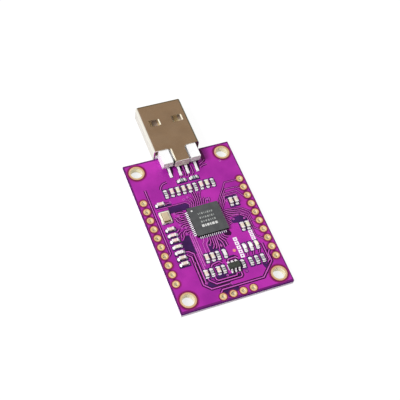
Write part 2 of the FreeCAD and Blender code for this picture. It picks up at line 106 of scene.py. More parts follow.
def rings(profile, centres, segments=24):
    """A closed profile of (radius, height) turned about an upright line through each centre."""
    profile = np.array(profile, float)
    centres = np.array(centres, float).reshape(-1, 2)
    angle = np.linspace(0, 2 * np.pi, segments, endpoint=False)
    radius, height = profile[:, 0], profile[:, 1]
    grid = np.zeros((len(centres), segments, len(profile), 3))
    grid[..., 0] = centres[:, None, None, 0] + np.cos(angle)[None, :, None] * radius
    grid[..., 1] = centres[:, None, None, 1] + np.sin(angle)[None, :, None] * radius
    grid[..., 2] = height
    index = np.arange(grid[..., 0].size).reshape(grid.shape[:3])
    along = np.roll(index, -1, axis=1)
    quads = np.stack([index, np.roll(index, -1, 2), np.roll(along, -1, 2), along], -1).reshape(-1, 4)
    return grid.reshape(-1, 3), [quads]

# %% Soft blocks


def soft_blocks(lows, highs, radius, steps=2):
    """Blocks with rounded edges: level sections whose inset and height follow a quarter circle at the foot
    and at the head, each section a rectangle with round corners."""
    lows = np.array(lows, float).reshape(-1, 1, 1, 3)
    highs = np.array(highs, float).reshape(-1, 1, 1, 3)
    phi = np.linspace(0, np.pi / 2, steps + 1)
    inset = radius * (1 - np.sin(phi))
    drop = radius * (1 - np.cos(phi))
    inset = np.concatenate([inset, inset[::-1]])[:, None]
    theta = (np.arange(4)[:, None] * np.pi / 2 + np.linspace(0, np.pi / 2, steps + 1)).ravel()
    side_x = np.repeat([1, -1, -1, 1], steps + 1)
    side_y = np.repeat([1, 1, -1, -1], steps + 1)
    corner = 1.4 * radius
    middle, half = (lows + highs) / 2, (highs - lows) / 2
    grid = np.zeros((len(lows), 2 * steps + 2, theta.size, 3))
    grid[..., 0] = middle[..., 0] + side_x * (half[..., 0] - corner) + (corner - inset) * np.cos(theta)
    grid[..., 1] = middle[..., 1] + side_y * (half[..., 1] - corner) + (corner - inset) * np.sin(theta)
    foot = lows[..., 2] + drop[None, :, None]
    head = highs[..., 2] - drop[None, ::-1, None]
    grid[..., 2] = np.concatenate([foot, head], axis=1)
    return bars(grid)

# %% Strips, slabs and flat rings


def offset_line(path, distance):
    """A line moved sideways: each point goes along the mean of its two sides' normals, longer at a corner so
    that both sides keep their distance."""
    path = np.array(path, float)
    step = np.diff(path, axis=0)
    step /= np.linalg.norm(step, axis=1)[:, None]
    before = np.vstack([step[:1], step])
    after = np.vstack([step, step[-1:]])
    mean = before + after
    normal = np.stack([-mean[:, 1], mean[:, 0]], -1)
    reach = (normal * np.stack([-before[:, 1], before[:, 0]], -1)).sum(1)
    return path + distance * normal / reach[:, None]


def strips(paths, width, low, high, shoulder=0.0):
    """Flat bars along plan lines: the section is a trapezoid that is narrower by the shoulder at its top."""
    foot, head = width / 2, width / 2 - shoulder
    sides = [(foot, low), (head, high), (-head, high), (-foot, low)]
    made = []
    for path in paths:
        lines = [np.column_stack([offset_line(path, d), np.full(len(path), z)]) for d, z in sides]
        made.append(bars(np.stack(lines, axis=1)[None]))
    return join(made)


def slabs(outlines, low, high):
    """Flat plates from plan outlines."""
    made = []
    for outline in outlines:
        outline = np.array(outline, float)
        levels = [np.column_stack([outline, np.full(len(outline), z)]) for z in (low, high)]
        made.append(bars(np.stack(levels)[None]))
    return join(made)


def join(shapes):
    """Several shapes as one: the points follow each other, and each shape's faces count on from there."""
    points, faces, start = [], [], 0
    for cloud, lists in shapes:
        points.append(cloud)
        faces += [face + start for face in lists]
        start += len(cloud)
    return np.concatenate(points), faces


def rectangle(x0, x1, y0, y1):
    """The four corners of an upright rectangle in plan."""
    return [(x0, y0), (x1, y0), (x1, y1), (x0, y1)]


def grown(low, high, left, right, front, back):
    """A box's outline in plan, moved out by a margin on each side."""
    return rectangle(low[0] - left, high[0] + right, low[1] - front, high[1] + back)


def flat_ring(inner, outer, low, high):
    """The profile of a flat ring, for turning."""
    return [(inner, low), (outer, low), (outer, high), (inner, high)]


# %% [markdown]
# ## From arrays to a finished piece
#
# A piece is one mesh that stays at the origin with its place in its points, so that patterns on object
# coordinates sit still. Doubles are merged and the normals worked out again, which makes every closed shape
# face outwards. Smooth shading with sharp creases keeps flats flat and makes rounded edges catch the light.

# %% Make a piece


def tidy_mesh(mesh):
    """Merges doubles and turns every face outwards."""
    work = bmesh.new()
    work.from_mesh(mesh)
    bmesh.ops.remove_doubles(work, verts=work.verts, dist=1e-8)
    bmesh.ops.recalc_face_normals(work, faces=work.faces)
    work.to_mesh(mesh)
    work.free()


def add_piece(name, layers, replaced=(), crease=40):
    """One object from (shape, material) layers. It rides on the module and stands for the replaced nodes."""
    points, faces = join([shape for shape, _ in layers])
    counts = [sum(map(len, blocks)) for (_, blocks), _ in layers]
    mesh = bpy.data.meshes.new(name)
    mesh.from_pydata((points * MM).tolist(), [], [face for block in faces for face in block.tolist()])
    mesh.polygons.foreach_set("material_index", np.repeat(np.arange(len(layers)), counts).tolist())
    for _, material in layers:
        mesh.materials.append(material)
    tidy_mesh(mesh)
    mesh.shade_smooth()
    mesh.set_sharp_from_angle(angle=math.radians(crease))
    made = bpy.data.objects.new(name, mesh)
    bpy.context.scene.collection.objects.link(made)
    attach(made, "root")
    if replaced:
        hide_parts(*replaced)
    print(name, len(mesh.polygons), "faces")
    return made


# %% [markdown]
# ## Effects that several finishes share
#
# A finish looks real when its colour and gloss drift a little. The same three effects serve every material
# here, so each is a group of shader nodes: a drifting colour, a drifting value and a fine relief. All read
# object coordinates, because the pieces never move inside their own space.

# %% Screen colours and single nodes


def paint(red, green, blue):
    """A screen colour from 0 to 255 as the linear light that shaders work in."""
    value = np.array([red, green, blue]) / 255
    linear = np.where(value <= 0.04045, value / 12.92, ((value + 0.055) / 1.055) ** 2.4)
    return (*linear.tolist(), 1.0)


def add_node(tree, kind, inputs=None, **settings):
    """A shader node with its settings; each input takes a plain value, or the socket that feeds it."""
    node = tree.nodes.new(f"ShaderNode{kind}")
    for label, value in settings.items():
        setattr(node, label, value)
    for label, value in (inputs or {}).items():
        if isinstance(value, bpy.types.NodeSocket):
            tree.links.new(value, node.inputs[label])
        else:
            node.inputs[label].default_value = value
    return node


def math_node(tree, operation, *values):
    """One arithmetic node; a number or a socket goes to each input."""
    return add_node(tree, "Math", dict(enumerate(values)), operation=operation).outputs[0]


def stretched(tree, value, from_low, from_high, to_low=0.0, to_high=1.0):
    """A value that is spread from one range over another."""
    inputs = {"Value": value, "From Min": from_low, "From Max": from_high,
              "To Min": to_low, "To Max": to_high}
    return add_node(tree, "MapRange", inputs).outputs["Result"]


def mixed(tree, share, first, second):
    """The first colour where the share is 0, the second where it is 1."""
    return add_node(tree, "Mix", {0: share, 6: first, 7: second}, data_type="RGBA").outputs[2]


def cloudy(tree, scale, detail):
    """A noise over object coordinates."""
    place = add_node(tree, "TexCoord").outputs["Object"]
    return add_node(tree, "TexNoise", {"Vector": place, "Scale": scale, "Detail": detail}).outputs[0]


# %% The three shared groups
FLOAT, COLOUR, VECTOR = "NodeSocketFloat", "NodeSocketColor", "NodeSocketVector"
NOISE_MIDDLE = (0.35, 0.65)


def new_group(name, inputs, outputs):
    """An empty shader group with its sockets, and the two nodes that hold them inside."""
    group = bpy.data.node_groups.new(name, "ShaderNodeTree")
    for way, sockets in (("INPUT", inputs), ("OUTPUT", outputs)):
        for label, kind in sockets.items():
            group.interface.new_socket(label, in_out=way, socket_type=kind)
    return group, group.nodes.new("NodeGroupInput"), group.nodes.new("NodeGroupOutput")


def drifting_colour():
    """Group: two colours mixed by a noise."""
    inputs = {"Scale": FLOAT, "Dark": COLOUR, "Light": COLOUR}
    group, start, end = new_group("drifting_colour", inputs, {"Colour": COLOUR})
    share = stretched(group, cloudy(group, start.outputs["Scale"], 3), *NOISE_MIDDLE)
    group.links.new(mixed(group, share, start.outputs["Dark"], start.outputs["Light"]), end.inputs["Colour"])
    return group


def drifting_value():
    """Group: a value that wanders between two limits."""
    inputs = {"Scale": FLOAT, "Low": FLOAT, "High": FLOAT}
    group, start, end = new_group("drifting_value", inputs, {"Value": FLOAT})
    noise = cloudy(group, start.outputs["Scale"], 2)
    value = stretched(group, noise, *NOISE_MIDDLE, start.outputs["Low"], start.outputs["High"])
    group.links.new(value, end.inputs["Value"])
    return group


def fine_relief():
    """Group: a normal bent by a fine noise."""
    group, start, end = new_group("fine_relief", {"Scale": FLOAT, "Depth": FLOAT}, {"Normal": VECTOR})
    noise = cloudy(group, start.outputs["Scale"], 2)
    bump = add_node(group, "Bump", {"Strength": 1.0, "Height": noise, "Distance": start.outputs["Depth"]})
    group.links.new(bump.outputs["Normal"], end.inputs["Normal"])
    return group


COLOUR_GROUP, VALUE_GROUP, RELIEF_GROUP = drifting_colour(), drifting_value(), fine_relief()
print(len(bpy.data.node_groups), "shader groups")

# %% A finish


def finish(name, dark, light, tone=300, rough=(0.35, 0.5), patch=900, relief=0.004, grain=6000, metallic=0.0,
           coat=0.0, specular=0.5):
    """A material: a colour that drifts between two tones, a gloss that drifts between two limits, and a fine
    relief whose depth is in millimetres. Scales count features in a metre."""
    material = bpy.data.materials.new(name)
    material.use_nodes = True
    tree = material.node_tree
    shader = tree.nodes["Principled BSDF"]
    for label, value in (("Metallic", metallic), ("Coat Weight", coat), ("Specular IOR Level", specular)):
        shader.inputs[label].default_value = value
    for group, label, inputs in (
        (COLOUR_GROUP, "Base Color", {"Scale": tone, "Dark": paint(*dark), "Light": paint(*light)}),
        (VALUE_GROUP, "Roughness", {"Scale": patch, "Low": rough[0], "High": rough[1]}),
        (RELIEF_GROUP, "Normal", {"Scale": grain, "Depth": relief * MM}),
    ):
        tree.links.new(add_node(tree, "Group", inputs, node_tree=group).outputs[0], shader.inputs[label])
    return material


# %% [markdown]
# ## Tones by position
#
# Some surfaces show two tones where their node is one solid. The node could be cut in two, but a mask is
# lighter: arithmetic on object coordinates gives 1 inside a region and 0 outside, and a second tone is laid
# over the finish there. It turns with the piece, because it reads only where a point lies on it.

# %% Masks from object coordinates


def place_axes(material):
    """A material's tree, and the three object coordinates of a surface point, in metres."""
    tree = material.node_tree
    place = add_node(tree, "TexCoord").outputs["Object"]
    return tree, *add_node(tree, "SeparateXYZ", {"Vector": place}).outputs


def band(tree, value, low, high):
    """1 where a coordinate lies between two lengths in millimetres."""
    return math_node(tree, "COMPARE", value, float(low + high) / 2 * MM, float(high - low) / 2 * MM)


def above(tree, value, limit):
    """1 where a coordinate is over a length in millimetres."""
    return math_node(tree, "GREATER_THAN", value, float(limit) * MM)


def below(tree, value, limit):
    """1 where a coordinate is under a length in millimetres."""
    return math_node(tree, "LESS_THAN", value, float(limit) * MM)


def all_of(tree, *masks):
    """1 where every mask is 1."""
    product = masks[0]
    for mask in masks[1:]:
        product = math_node(tree, "MULTIPLY", product, mask)
    return product


def within(tree, x, y, x0, x1, y0, y1):
    """1 inside a rectangle in plan, given in millimetres."""
    return all_of(tree, band(tree, x, x0, x1), band(tree, y, y0, y1))


def any_of(tree, *masks):
    """1 where at least one mask is 1."""
    most = masks[0]
    for mask in masks[1:]:
        most = math_node(tree, "MAXIMUM", most, mask)
    return most


def tint_where(material, *tints):
    """Lays colours over a finish, each where its own mask is 1, and the later ones on top."""
    tree = material.node_tree
    base = tree.nodes["Principled BSDF"].inputs["Base Color"]
    for mask, colour in tints:
        tree.links.new(mixed(tree, mask, base.links[0].from_socket, paint(*colour)), base)


def fade_where(material, mask, label, level):
    """Brings an input of the shader from its level down to 0 where a mask is 1."""
    tree = material.node_tree
    rest = math_node(tree, "SUBTRACT", 1.0, mask)
    tree.links.new(math_node(tree, "MULTIPLY", rest, level), tree.nodes["Principled BSDF"].inputs[label])


# %% [markdown]
# ## The board's mask
#
# The board is glass laminate with copper on both faces under a glossy purple mask. Over copper the mask looks
# bright pink-purple and over bare laminate it is dark. So are the sawn edges, but for the pale laminate along
# their foot. A picture of the board could be wrapped round it, but worked-out colour stays sharp at any size,
# so the mask is a drifting purple with its narrow border and the edges laid over it by position.

# %% Mask, laminate and track finishes
OVER_LAMINATE = {"tone": 400, "rough": (0.36, 0.48), "specular": 0.25}
OUT_OF_LIGHT = {"tone": 400, "rough": (0.4, 0.5), "specular": 0.2}
mask_finish = finish("mask_over_copper", (154, 30, 150), (182, 42, 170), 130, (0.36, 0.46), patch=500,
                     relief=0.003, grain=2500, specular=0.25)
laminate_finish = finish("mask_over_laminate", (54, 20, 76), (70, 30, 98), **OVER_LAMINATE)
clearance_and_shade_finish = finish("mask_in_clearance_and_shade", (40, 4, 46), (62, 8, 66), **OVER_LAMINATE)
halo_finish = finish("mask_halo", (104, 12, 66), (124, 20, 82), **OUT_OF_LIGHT)
faint_halo_finish = finish("mask_faint_halo", (140, 22, 112), (156, 30, 128), 400, (0.36, 0.46),
                           specular=0.25)
shaded_finish = finish("mask_in_shade", (100, 14, 90), (116, 20, 104), **OUT_OF_LIGHT)
track_finish = finish("mask_over_track", (190, 76, 180), (206, 96, 194), 500, (0.32, 0.42), specular=0.3)

BORDER_SIDE, BORDER_END = 0.3, 0.45
EDGE_SKIN = 0.01
PALE_FOOT = (0.02, 0.82)
tree, x, y, z = place_axes(mask_finish)
out_x = math_node(tree, "ABSOLUTE", x)
out_y = math_node(tree, "ABSOLUTE", y)
side_border = above(tree, out_x, board_high[0] - BORDER_SIDE)
end_border = above(tree, out_y, board_high[1] - BORDER_END)
on_wall = band(tree, z, EDGE_SKIN, TOP - EDGE_SKIN)
on_end = all_of(tree, on_wall, above(tree, out_y, board_high[1] - 2 * EDGE_SKIN))
tint_where(mask_finish, (any_of(tree, side_border, end_border), (108, 22, 108)), (on_wall, (74, 24, 92)),
           (on_end, (112, 38, 132)), (band(tree, z, *PALE_FOOT), (250, 236, 250)))
fade_where(mask_finish, on_wall, "Specular IOR Level", 0.25)
print(len(bpy.data.materials), "finishes of the mask")

# %% [markdown]
# ## Metals, mouldings and ceramics
#
# The plug's shell is bright plated sheet, the pads are thin gold, and leads and solder are tin. Metals take
# their look from what they mirror, so their own colours stay pale. The barrels of the holes are painted paler
# than their pads, as a painted reflection of the light they catch. A tinned cap is painted darker at its
# foot, as painted shade where its neighbours keep the light off. Small parts are fired ceramic with tinned
# ends, and the chips are matt moulding compound.

# %% Metal finishes
PLATED = {"patch": 1500, "relief": 0.001, "grain": 5000}
TIN = {"dark": (240, 236, 240), "light": (250, 248, 250), "tone": 900, "rough": (0.3, 0.4), "metallic": 0.15}
BARREL_SKIN = 0.02
CAP_SHADE = (132, 122, 108)
steel_finish = finish("plug_steel", (214, 208, 200), (224, 219, 211), tone=260, rough=(0.2, 0.26), patch=500,
                      relief=0.0001, grain=1500, metallic=1.0)
gold_finish = finish("pad_gold", (224, 182, 124), (240, 206, 152), 900, (0.34, 0.46), metallic=0.15, **PLATED)
ring_finish = finish("ring_gold", (218, 182, 134), (234, 206, 164), 600, (0.34, 0.46), metallic=0.25,
                     **PLATED)
# Painted reflection: the barrel walls are painted paler than their pads, for the light they catch.
for plated, barrel_reflection in ((gold_finish, (255, 246, 214)), (ring_finish, (236, 228, 196))):
    tree, x, y, z = place_axes(plated)
    tint_where(plated, (band(tree, z, BARREL_SKIN, TOP - BARREL_SKIN), barrel_reflection))
tin_finish = finish("tin_plate", **TIN, **PLATED)
# Painted shade: each copy of the tin is painted darker at the foot of its caps, up to its own height.
cap_finishes = {}
for word, shade_top in (("tall", 0.6), ("low", 0.3)):
    cap_finishes[word] = finish(f"tin_cap_{word}", **TIN, **PLATED)
    tree, x, y, z = place_axes(cap_finishes[word])
    tint_where(cap_finishes[word], (below(tree, z, TOP + shade_top), CAP_SHADE))
solder_finish = finish("solder", (240, 234, 240), (250, 246, 250), 900, (0.42, 0.52), metallic=0.2, **PLATED)
copper_finish = finish("bare_copper", (240, 150, 136), (250, 178, 162), 900, metallic=0.2)
contact_finish = finish("contact_plating", (238, 206, 150), (248, 222, 172), 900, (0.3, 0.4), metallic=0.1)
lid_finish = finish("crystal_lid", (208, 190, 160), (222, 204, 176), 900, (0.36, 0.46), metallic=0.2)
rim_finish = finish("crystal_rim", (246, 240, 222), (252, 248, 236), 900, (0.32, 0.42), metallic=0.2)
lid_shadow_finish = finish("crystal_lid_shadow", (84, 72, 30), (110, 96, 48), 900, (0.5, 0.6))
print(len(bpy.data.materials), "finishes with the metals")

# %% Plastic, ceramic and print finishes
nylon_finish = finish("white_nylon", (246, 246, 247), (251, 251, 251), 500, (0.4, 0.5), relief=0.002)
compound_finish = finish("moulding_compound", (72, 75, 78), (82, 85, 87), 600, (0.5, 0.62), grain=9000)
regulator_finish = finish("regulator_compound", (46, 54, 48), (64, 72, 64), 2500, (0.5, 0.62), grain=9000)
pad_rim_finish = finish("mask_on_gold", (172, 104, 84), (190, 122, 96), 900)
print_and_highlight_finish = finish("white_print_and_highlight", (244, 238, 248), (252, 248, 253), 900, (0.5, 0.65))
chip_print_finish = finish("chip_print", (140, 144, 142), (176, 180, 176), 2500, (0.5, 0.65))
bold_print_finish = finish("bold_chip_print", (200, 202, 200), (224, 224, 222), 2500, (0.5, 0.65))
tan_finish = finish("tan_ceramic", (226, 208, 190), (238, 222, 206), 1400, (0.3, 0.45))
pink_finish = finish("pink_ceramic", (238, 204, 196), (246, 218, 210), 1400, (0.3, 0.45))
cream_finish = finish("cream_ceramic", (220, 216, 182), (232, 230, 200), 1400, (0.3, 0.45))
resistor_finish = finish("resistor_glaze", (96, 104, 104), (138, 144, 142), 2400, (0.25, 0.4))
teal_finish = finish("teal_glaze", (40, 104, 88), (60, 124, 106), 2400, (0.25, 0.4))
alumina_finish = finish("white_alumina", (232, 228, 226), (242, 238, 236), 1800, (0.4, 0.5))
tray_finish = finish("crystal_tray", (234, 222, 210), (244, 232, 222), 900, (0.4, 0.55))
lens_finish = finish("lamp_lens", (250, 249, 247), (254, 253, 252), 900, (0.15, 0.25), coat=0.3)
amber_lens_finish = finish("amber_lamp_lens", (250, 246, 206), (254, 252, 226), 900, (0.15, 0.25), coat=0.3)
print(len(bpy.data.materials), "finishes in all")

# %% [markdown]
# ## The plug's tones
#
# The contacts are gold in the mouth of the plug and tinned where they come out. The moulding is painted with
# light and shade: darker and warm inside the shell, a pale warm patch under the right window, greenish white
# on its rear faces against the purple light bounced from the board, and dark in the slot beside the tongue.
# The shell is a mirror, but a painted highlight runs along its cut edges, its left wall is painted paler as a
# painted reflection, its folded flap is plain and pale, and its roof is darker and greyer along its right
# edge and at its mouth. All these come from where a point lies, counted from the shell's rear, mouth and
# roof.

# %% Contacts, moulding and shell
WINDOW_X, WINDOW_HALF, WINDOW_FROM_MOUTH = 3.0, 1.25, 5.8
TONGUE_HALF = 1.8
ROOF_DEPTH, RIGHT_BAND, MOUTH_BAND = 0.4, 0.42, 0.32
LEFT_WALL, WALL_DEPTH, FLAP_FOOT = 0.25, 1.3, 0.45
shell_low, shell_high = box_mm("usb_shell")
rear, mouth, roof = shell_low[1], shell_high[1], shell_high[2]
window_y = mouth - WINDOW_FROM_MOUTH

tree, x, y, z = place_axes(contact_finish)
tint_where(contact_finish, (below(tree, y, board_high[1]), (252, 250, 252)))

tree, x, y, z = place_axes(nylon_finish)
# Painted shade: the moulding inside the shell is painted a warmer, darker tone.
shade_inside_shell = above(tree, y, board_high[1] + 0.3)
# Painted light: a warm pale patch on the moulding under the right window.
window_light = within(tree, x, y, WINDOW_X - 1.4, WINDOW_X + 1.4, window_y - 1, window_y + 1)
# Painted shade: the slot beside the tongue is painted dark near its open end.
slot_shade = within(tree, x, y, -TONGUE_HALF - 0.3, -TONGUE_HALF + 0.05, rear + 0.15, rear + 1.5)
# Painted light: the rear faces are painted greenish white, against the purple light bounced up from the
# board.
tint_where(nylon_finish, (shade_inside_shell, (206, 184, 166)), (window_light, (246, 234, 194)),
           (band(tree, y, rear, rear + 0.14), (248, 252, 240)), (slot_shade, (74, 80, 68)))

tree, x, y, z = place_axes(steel_finish)
on_roof = above(tree, z, roof - ROOF_DEPTH)
# The roof is darker and greyer along its right edge and at its mouth.
edge_bands = any_of(tree, above(tree, x, shell_high[0] - RIGHT_BAND), above(tree, y, mouth - MOUTH_BAND))
# Painted reflection: the upper part of the shell's left wall is painted paler.
left_wall_reflection = all_of(tree, below(tree, x, shell_low[0] + LEFT_WALL), above(tree, z, roof - WALL_DEPTH))
# Painted highlight: plain, pale strips along the tongue's left edge and the windows' right edges.
cut_edges = [(-TONGUE_HALF, 0.25, rear + 0.4, rear + 4.1)]
cut_edges += [(side * WINDOW_X + WINDOW_HALF, 0.3, window_y - 0.9, window_y + 0.9) for side in (-1, 1)]
edge_highlight = any_of(tree, *(all_of(tree, on_roof, within(tree, x, y, edge - 0.05, edge + width, y0, y1))
                        for edge, width, y0, y1 in cut_edges))
flap = all_of(tree, band(tree, y, rear - 0.1, rear + 0.2), band(tree, z, 0, roof - FLAP_FOOT))
tint_where(steel_finish, (all_of(tree, edge_bands, on_roof), (168, 174, 158)), (left_wall_reflection, (236, 232, 220)),
           (edge_highlight, (255, 246, 222)), (flap, (232, 222, 206)))
fade_where(steel_finish, any_of(tree, edge_highlight, flap), "Metallic", 1.0)
print("plug", np.round(shell_high - shell_low, 2), "mm, windows at y", round(window_y, 2))

# %% [markdown]
# ## Where each solid node gets its finish
#
# Nodes whose shape is already right keep their mesh, and only their material slot changes. The controller's
# moulding is painted nearly black on its low side walls, as painted shade where the light from above hardly
# reaches.

# %% Dress the carried-over nodes
chip_low, chip_high = box_mm("main_chip")
tree, x, y, z = place_axes(compound_finish)
# Painted shade: the low side walls are painted nearly black.
chip_wall_shade = band(tree, z, TOP + 0.05, chip_high[2] - 0.05)
tint_where(compound_finish, (chip_wall_shade, (12, 11, 14)))
fade_where(compound_finish, chip_wall_shade, "Specular IOR Level", 0.5)

dressing = {
    "circuit_board": mask_finish,
    "usb_shell": steel_finish,
    "usb_insulator": nylon_finish,
    "main_chip": compound_finish,
    "main_chip_leads": tin_finish,
    "regulator_body": regulator_finish,
    "regulator_leads": tin_finish,
    "test_pad": copper_finish,
    "mounting_hole_rings": ring_finish,
    **dict.fromkeys(named("usb_contact"), contact_finish),
}
for name, material in dressing.items():
    slots = nodes[name].material_slots
    if not slots:
        nodes[name].data.materials.append(material)
    for entry in slots:
        entry.material = material
print(len(dressing), "nodes dressed")

# %% [markdown]
# ## Chip resistors and capacitors
#
# A chip part is a little ceramic brick with a metal cap at each end. The caps stand a hair proud and all the
# edges are tumbled round, which is what makes each one sparkle. Each brick is made from its own node's box:
# three soft blocks, so the finished part sits exactly where the solid does.

# %% Chip parts
CAP_LENGTH, CAP_PROUD, EDGE_ROUND = 0.38, 0.03, 0.06
FILM_HALF, FILM_ROUND, INK = 0.02, 0.015, 0.005
MARK_PITCH, MARK_WIDTH, MARK_LENGTH = 0.21, 0.09, 0.34


def long_axis(low, high):
    """0 for a box that is longer along X, 1 for one that is longer along Y."""
    return int(high[1] - low[1] > high[0] - low[0])


def end_caps(low, high, axis, length):
    """The lowest and the highest corners of two blocks, one at each end of a box."""
    near_high, far_low = high.copy(), low.copy()
    near_high[axis] = low[axis] + length
    far_low[axis] = high[axis] - length
    return [low, far_low], [near_high, high]


def film_marks(low, high, axis):
    """Three short printed bars side by side on a film, across the part."""
    middle = (low + high) / 2
    outlines = []
    for step in (-1, 0, 1):
        x, y = middle[:2]
        if axis:
            x += step * MARK_PITCH
        else:
            y += step * MARK_PITCH
        half = np.full(2, MARK_WIDTH / 2)
        half[axis] = MARK_LENGTH / 2
        outlines.append(rectangle(x - half[0], x + half[0], y - half[1], y + half[1]))
    return outlines


def chip_part(node, body_finish, film_finish=None):
    """Body, two end caps and, on a resistor, the dark film on its back."""
    low, high = box_mm(node)
    axis = long_axis(low, high)
    body_low, body_high = low + CAP_PROUD, high - CAP_PROUD
    caps = soft_blocks(*end_caps(low, high, axis, CAP_LENGTH), EDGE_ROUND)
    layers = [
        (soft_blocks(body_low, body_high, EDGE_ROUND), body_finish),
        (caps, cap_finishes["low" if film_finish else "tall"]),
    ]
    if film_finish:
        film_low, film_high = body_low.copy(), body_high.copy()
        film_low[axis] += CAP_LENGTH - CAP_PROUD
        film_high[axis] -= CAP_LENGTH - CAP_PROUD
        film_low[2] = body_high[2] - FILM_HALF
        film_high[2] = body_high[2] + FILM_HALF
        marks = slabs(film_marks(film_low, film_high, axis), film_high[2] - 2 * INK, film_high[2] + INK)
        layers += [(soft_blocks(film_low, film_high, FILM_ROUND), film_finish), (marks, print_and_highlight_finish)]
    return layers


capacitor_tones = {**dict.fromkeys((1, 5, 9, 19), pink_finish), **dict.fromkeys((2, 6, 15), cream_finish)}
film_tones = {4: teal_finish, 5: teal_finish, 6: pink_finish, 7: cream_finish, 8: alumina_finish,
              10: alumina_finish}
for node in named("capacitor"):
    body = capacitor_tones.get(int(node.split("_")[1]), tan_finish)
    add_piece(f"fired_{node}", chip_part(node, body), [node])
for node in named("resistor"):
    film = film_tones.get(int(node.split("_")[1]), resistor_finish)
    add_piece(f"fired_{node}", chip_part(node, alumina_finish, film), [node])

# %% [markdown]
# ## The crystal
#
# The crystal is a ceramic tray closed by a thin metal lid, which is welded to a bright ring on the rim. The
# ring shows as a pale frame round the tan lid, with a painted shadow of the lid on it, widest on the left and
# front.

# %% Crystal
RIM_INSET, RIM_SINK, RIM_HEIGHT = 0.04, 0.02, 0.06
LID_STEP, LID_SHIFT = 0.16, 0.14
LID_SHADOW_HALF = 0.01
base_low, base_high = box_mm("crystal_base")
lid_low, lid_high = box_mm("crystal_lid")
rim_low, rim_high = base_low + RIM_INSET, base_high - RIM_INSET
rim_low[2], rim_high[2] = base_high[2] - RIM_SINK, base_high[2] + RIM_HEIGHT
plate_low, plate_high = lid_low + LID_STEP, lid_high - (LID_STEP, LID_STEP, 0)
plate_low[2] = lid_low[2]
plate_low[0] += LID_SHIFT
# Painted shadow: a dark plate on the rim round the lid, widest on the left and front.
lid_shadow = grown(plate_low, plate_high, left=0.13, right=0.05, front=0.38, back=0.05)
crystal_layers = [
    (soft_blocks(base_low, base_high, 0.05), tray_finish),
    (soft_blocks(rim_low, rim_high, 0.03), rim_finish),
    (slabs([lid_shadow], rim_high[2] - LID_SHADOW_HALF, rim_high[2] + LID_SHADOW_HALF), lid_shadow_finish),
    (soft_blocks(plate_low, plate_high, 0.08, steps=3), lid_finish),
]
add_piece("welded_crystal", crystal_layers, ["crystal_base", "crystal_lid"])

# %% [markdown]
# ## The three lamps
#
# Each lamp is a white base with a tin cap at each end and a lens of clear resin moulded over its middle. The
# lens could be real glass in the shader, but at this size it only shows as a soft milky block. One of the
# three has an amber cast.

# %% Lamps
BASE_HEIGHT, BASE_INSET, BASE_ROUND, LAMP_CAP = 0.3, 0.02, 0.03, 0.25
LENS_LENGTH, LENS_SINK, LENS_ROUND = 1.0, 0.05, 0.14
lenses = dict(zip(named("led"), (lens_finish, lens_finish, amber_lens_finish)))
for node, lens in lenses.items():
    low, high = box_mm(node)
    base_high = np.array([high[0], high[1], low[2] + BASE_HEIGHT])
    middle_y = (low[1] + high[1]) / 2
    lens_low = np.array([low[0] + BASE_INSET, middle_y - LENS_LENGTH / 2, base_high[2] - LENS_SINK])
    lens_high = np.array([high[0] - BASE_INSET, middle_y + LENS_LENGTH / 2, high[2]])
    layers = [
        (soft_blocks(low + BASE_INSET, base_high - BASE_INSET, BASE_ROUND), alumina_finish),
        (soft_blocks(*end_caps(low, base_high, 1, LAMP_CAP), BASE_ROUND), tin_finish),
        (soft_blocks(lens_low, lens_high, LENS_ROUND, steps=4), lens),
    ]
    add_piece(f"moulded_{node}", layers, [node])

# %% [markdown]
# ## Solder
#
# Molten solder climbs the metal cap and runs out to the edge of its pad, so its face is a hollow curve, steep
# at the part and flat at the rim. Each fillet is a row of sections: their height falls as a power of the way
# out, and each section is rounded at its sides. All fillets are worked out together in one array.

# %% Solder fillets


def fillets(places, outward, reach, half, climb, rim=0.03, rows=6, columns=7):
    """Solder against upright faces. Height over the board is rim + (climb - rim) (1 - s)^2.2, with s from 0
    at the face to 1 at the rim. Across the width it falls as 1 - 0.55 u^4, with u from -1 to 1, and the plan
    narrows to a round end."""
    places, outward = np.array(places, float), np.array(outward, float)
    reach, half, climb = (np.broadcast_to(size, len(places))[:, None, None] for size in (reach, half, climb))
    s = np.linspace(0, 1, rows)[None, :, None]
    u = np.linspace(-1, 1, columns)[None, None, :]
    height = (rim + (climb - rim) * (1 - s) ** 2.2) * (1 - 0.55 * u ** 4)
    across = half * u * np.sqrt(1 - 0.35 * s ** 4)
    out = reach * (s - 0.22 * (s ** 3) * u ** 2)
    foot = np.zeros_like(height)
    grid_out = np.concatenate([out, out[..., ::-1]], axis=2)
    grid_across = np.concatenate([across, across[..., ::-1]], axis=2)
    grid_up = np.concatenate([height, foot], axis=2)
    side = np.stack([-outward[:, 1], outward[:, 0]], -1)
    grid = np.zeros((*grid_up.shape, 3))
    for axis in (0, 1):
        grid[..., axis] = (places[:, axis, None, None] + outward[:, axis, None, None] * grid_out
                           + side[:, axis, None, None] * grid_across)
    grid[..., 2] = TOP + grid_up
    return bars(grid)


def part_ends():
    """Both end faces of every chip part and lamp: place, way out, half the width, and height."""
    rows = []
    for node in named("capacitor") + named("resistor") + named("led"):
        low, high = box_mm(node)
        axis = long_axis(low, high)
        height = BASE_HEIGHT if node.startswith("led") else high[2] - low[2]
        for edge, sign in ((low, -1), (high, 1)):
            place = (low + high)[:2] / 2
            place[axis] = edge[axis]
            direction = np.zeros(2)
            direction[axis] = sign
            rows.append((place, direction, (high - low)[1 - axis] / 2, height))
    return [np.array(column) for column in zip(*rows)]


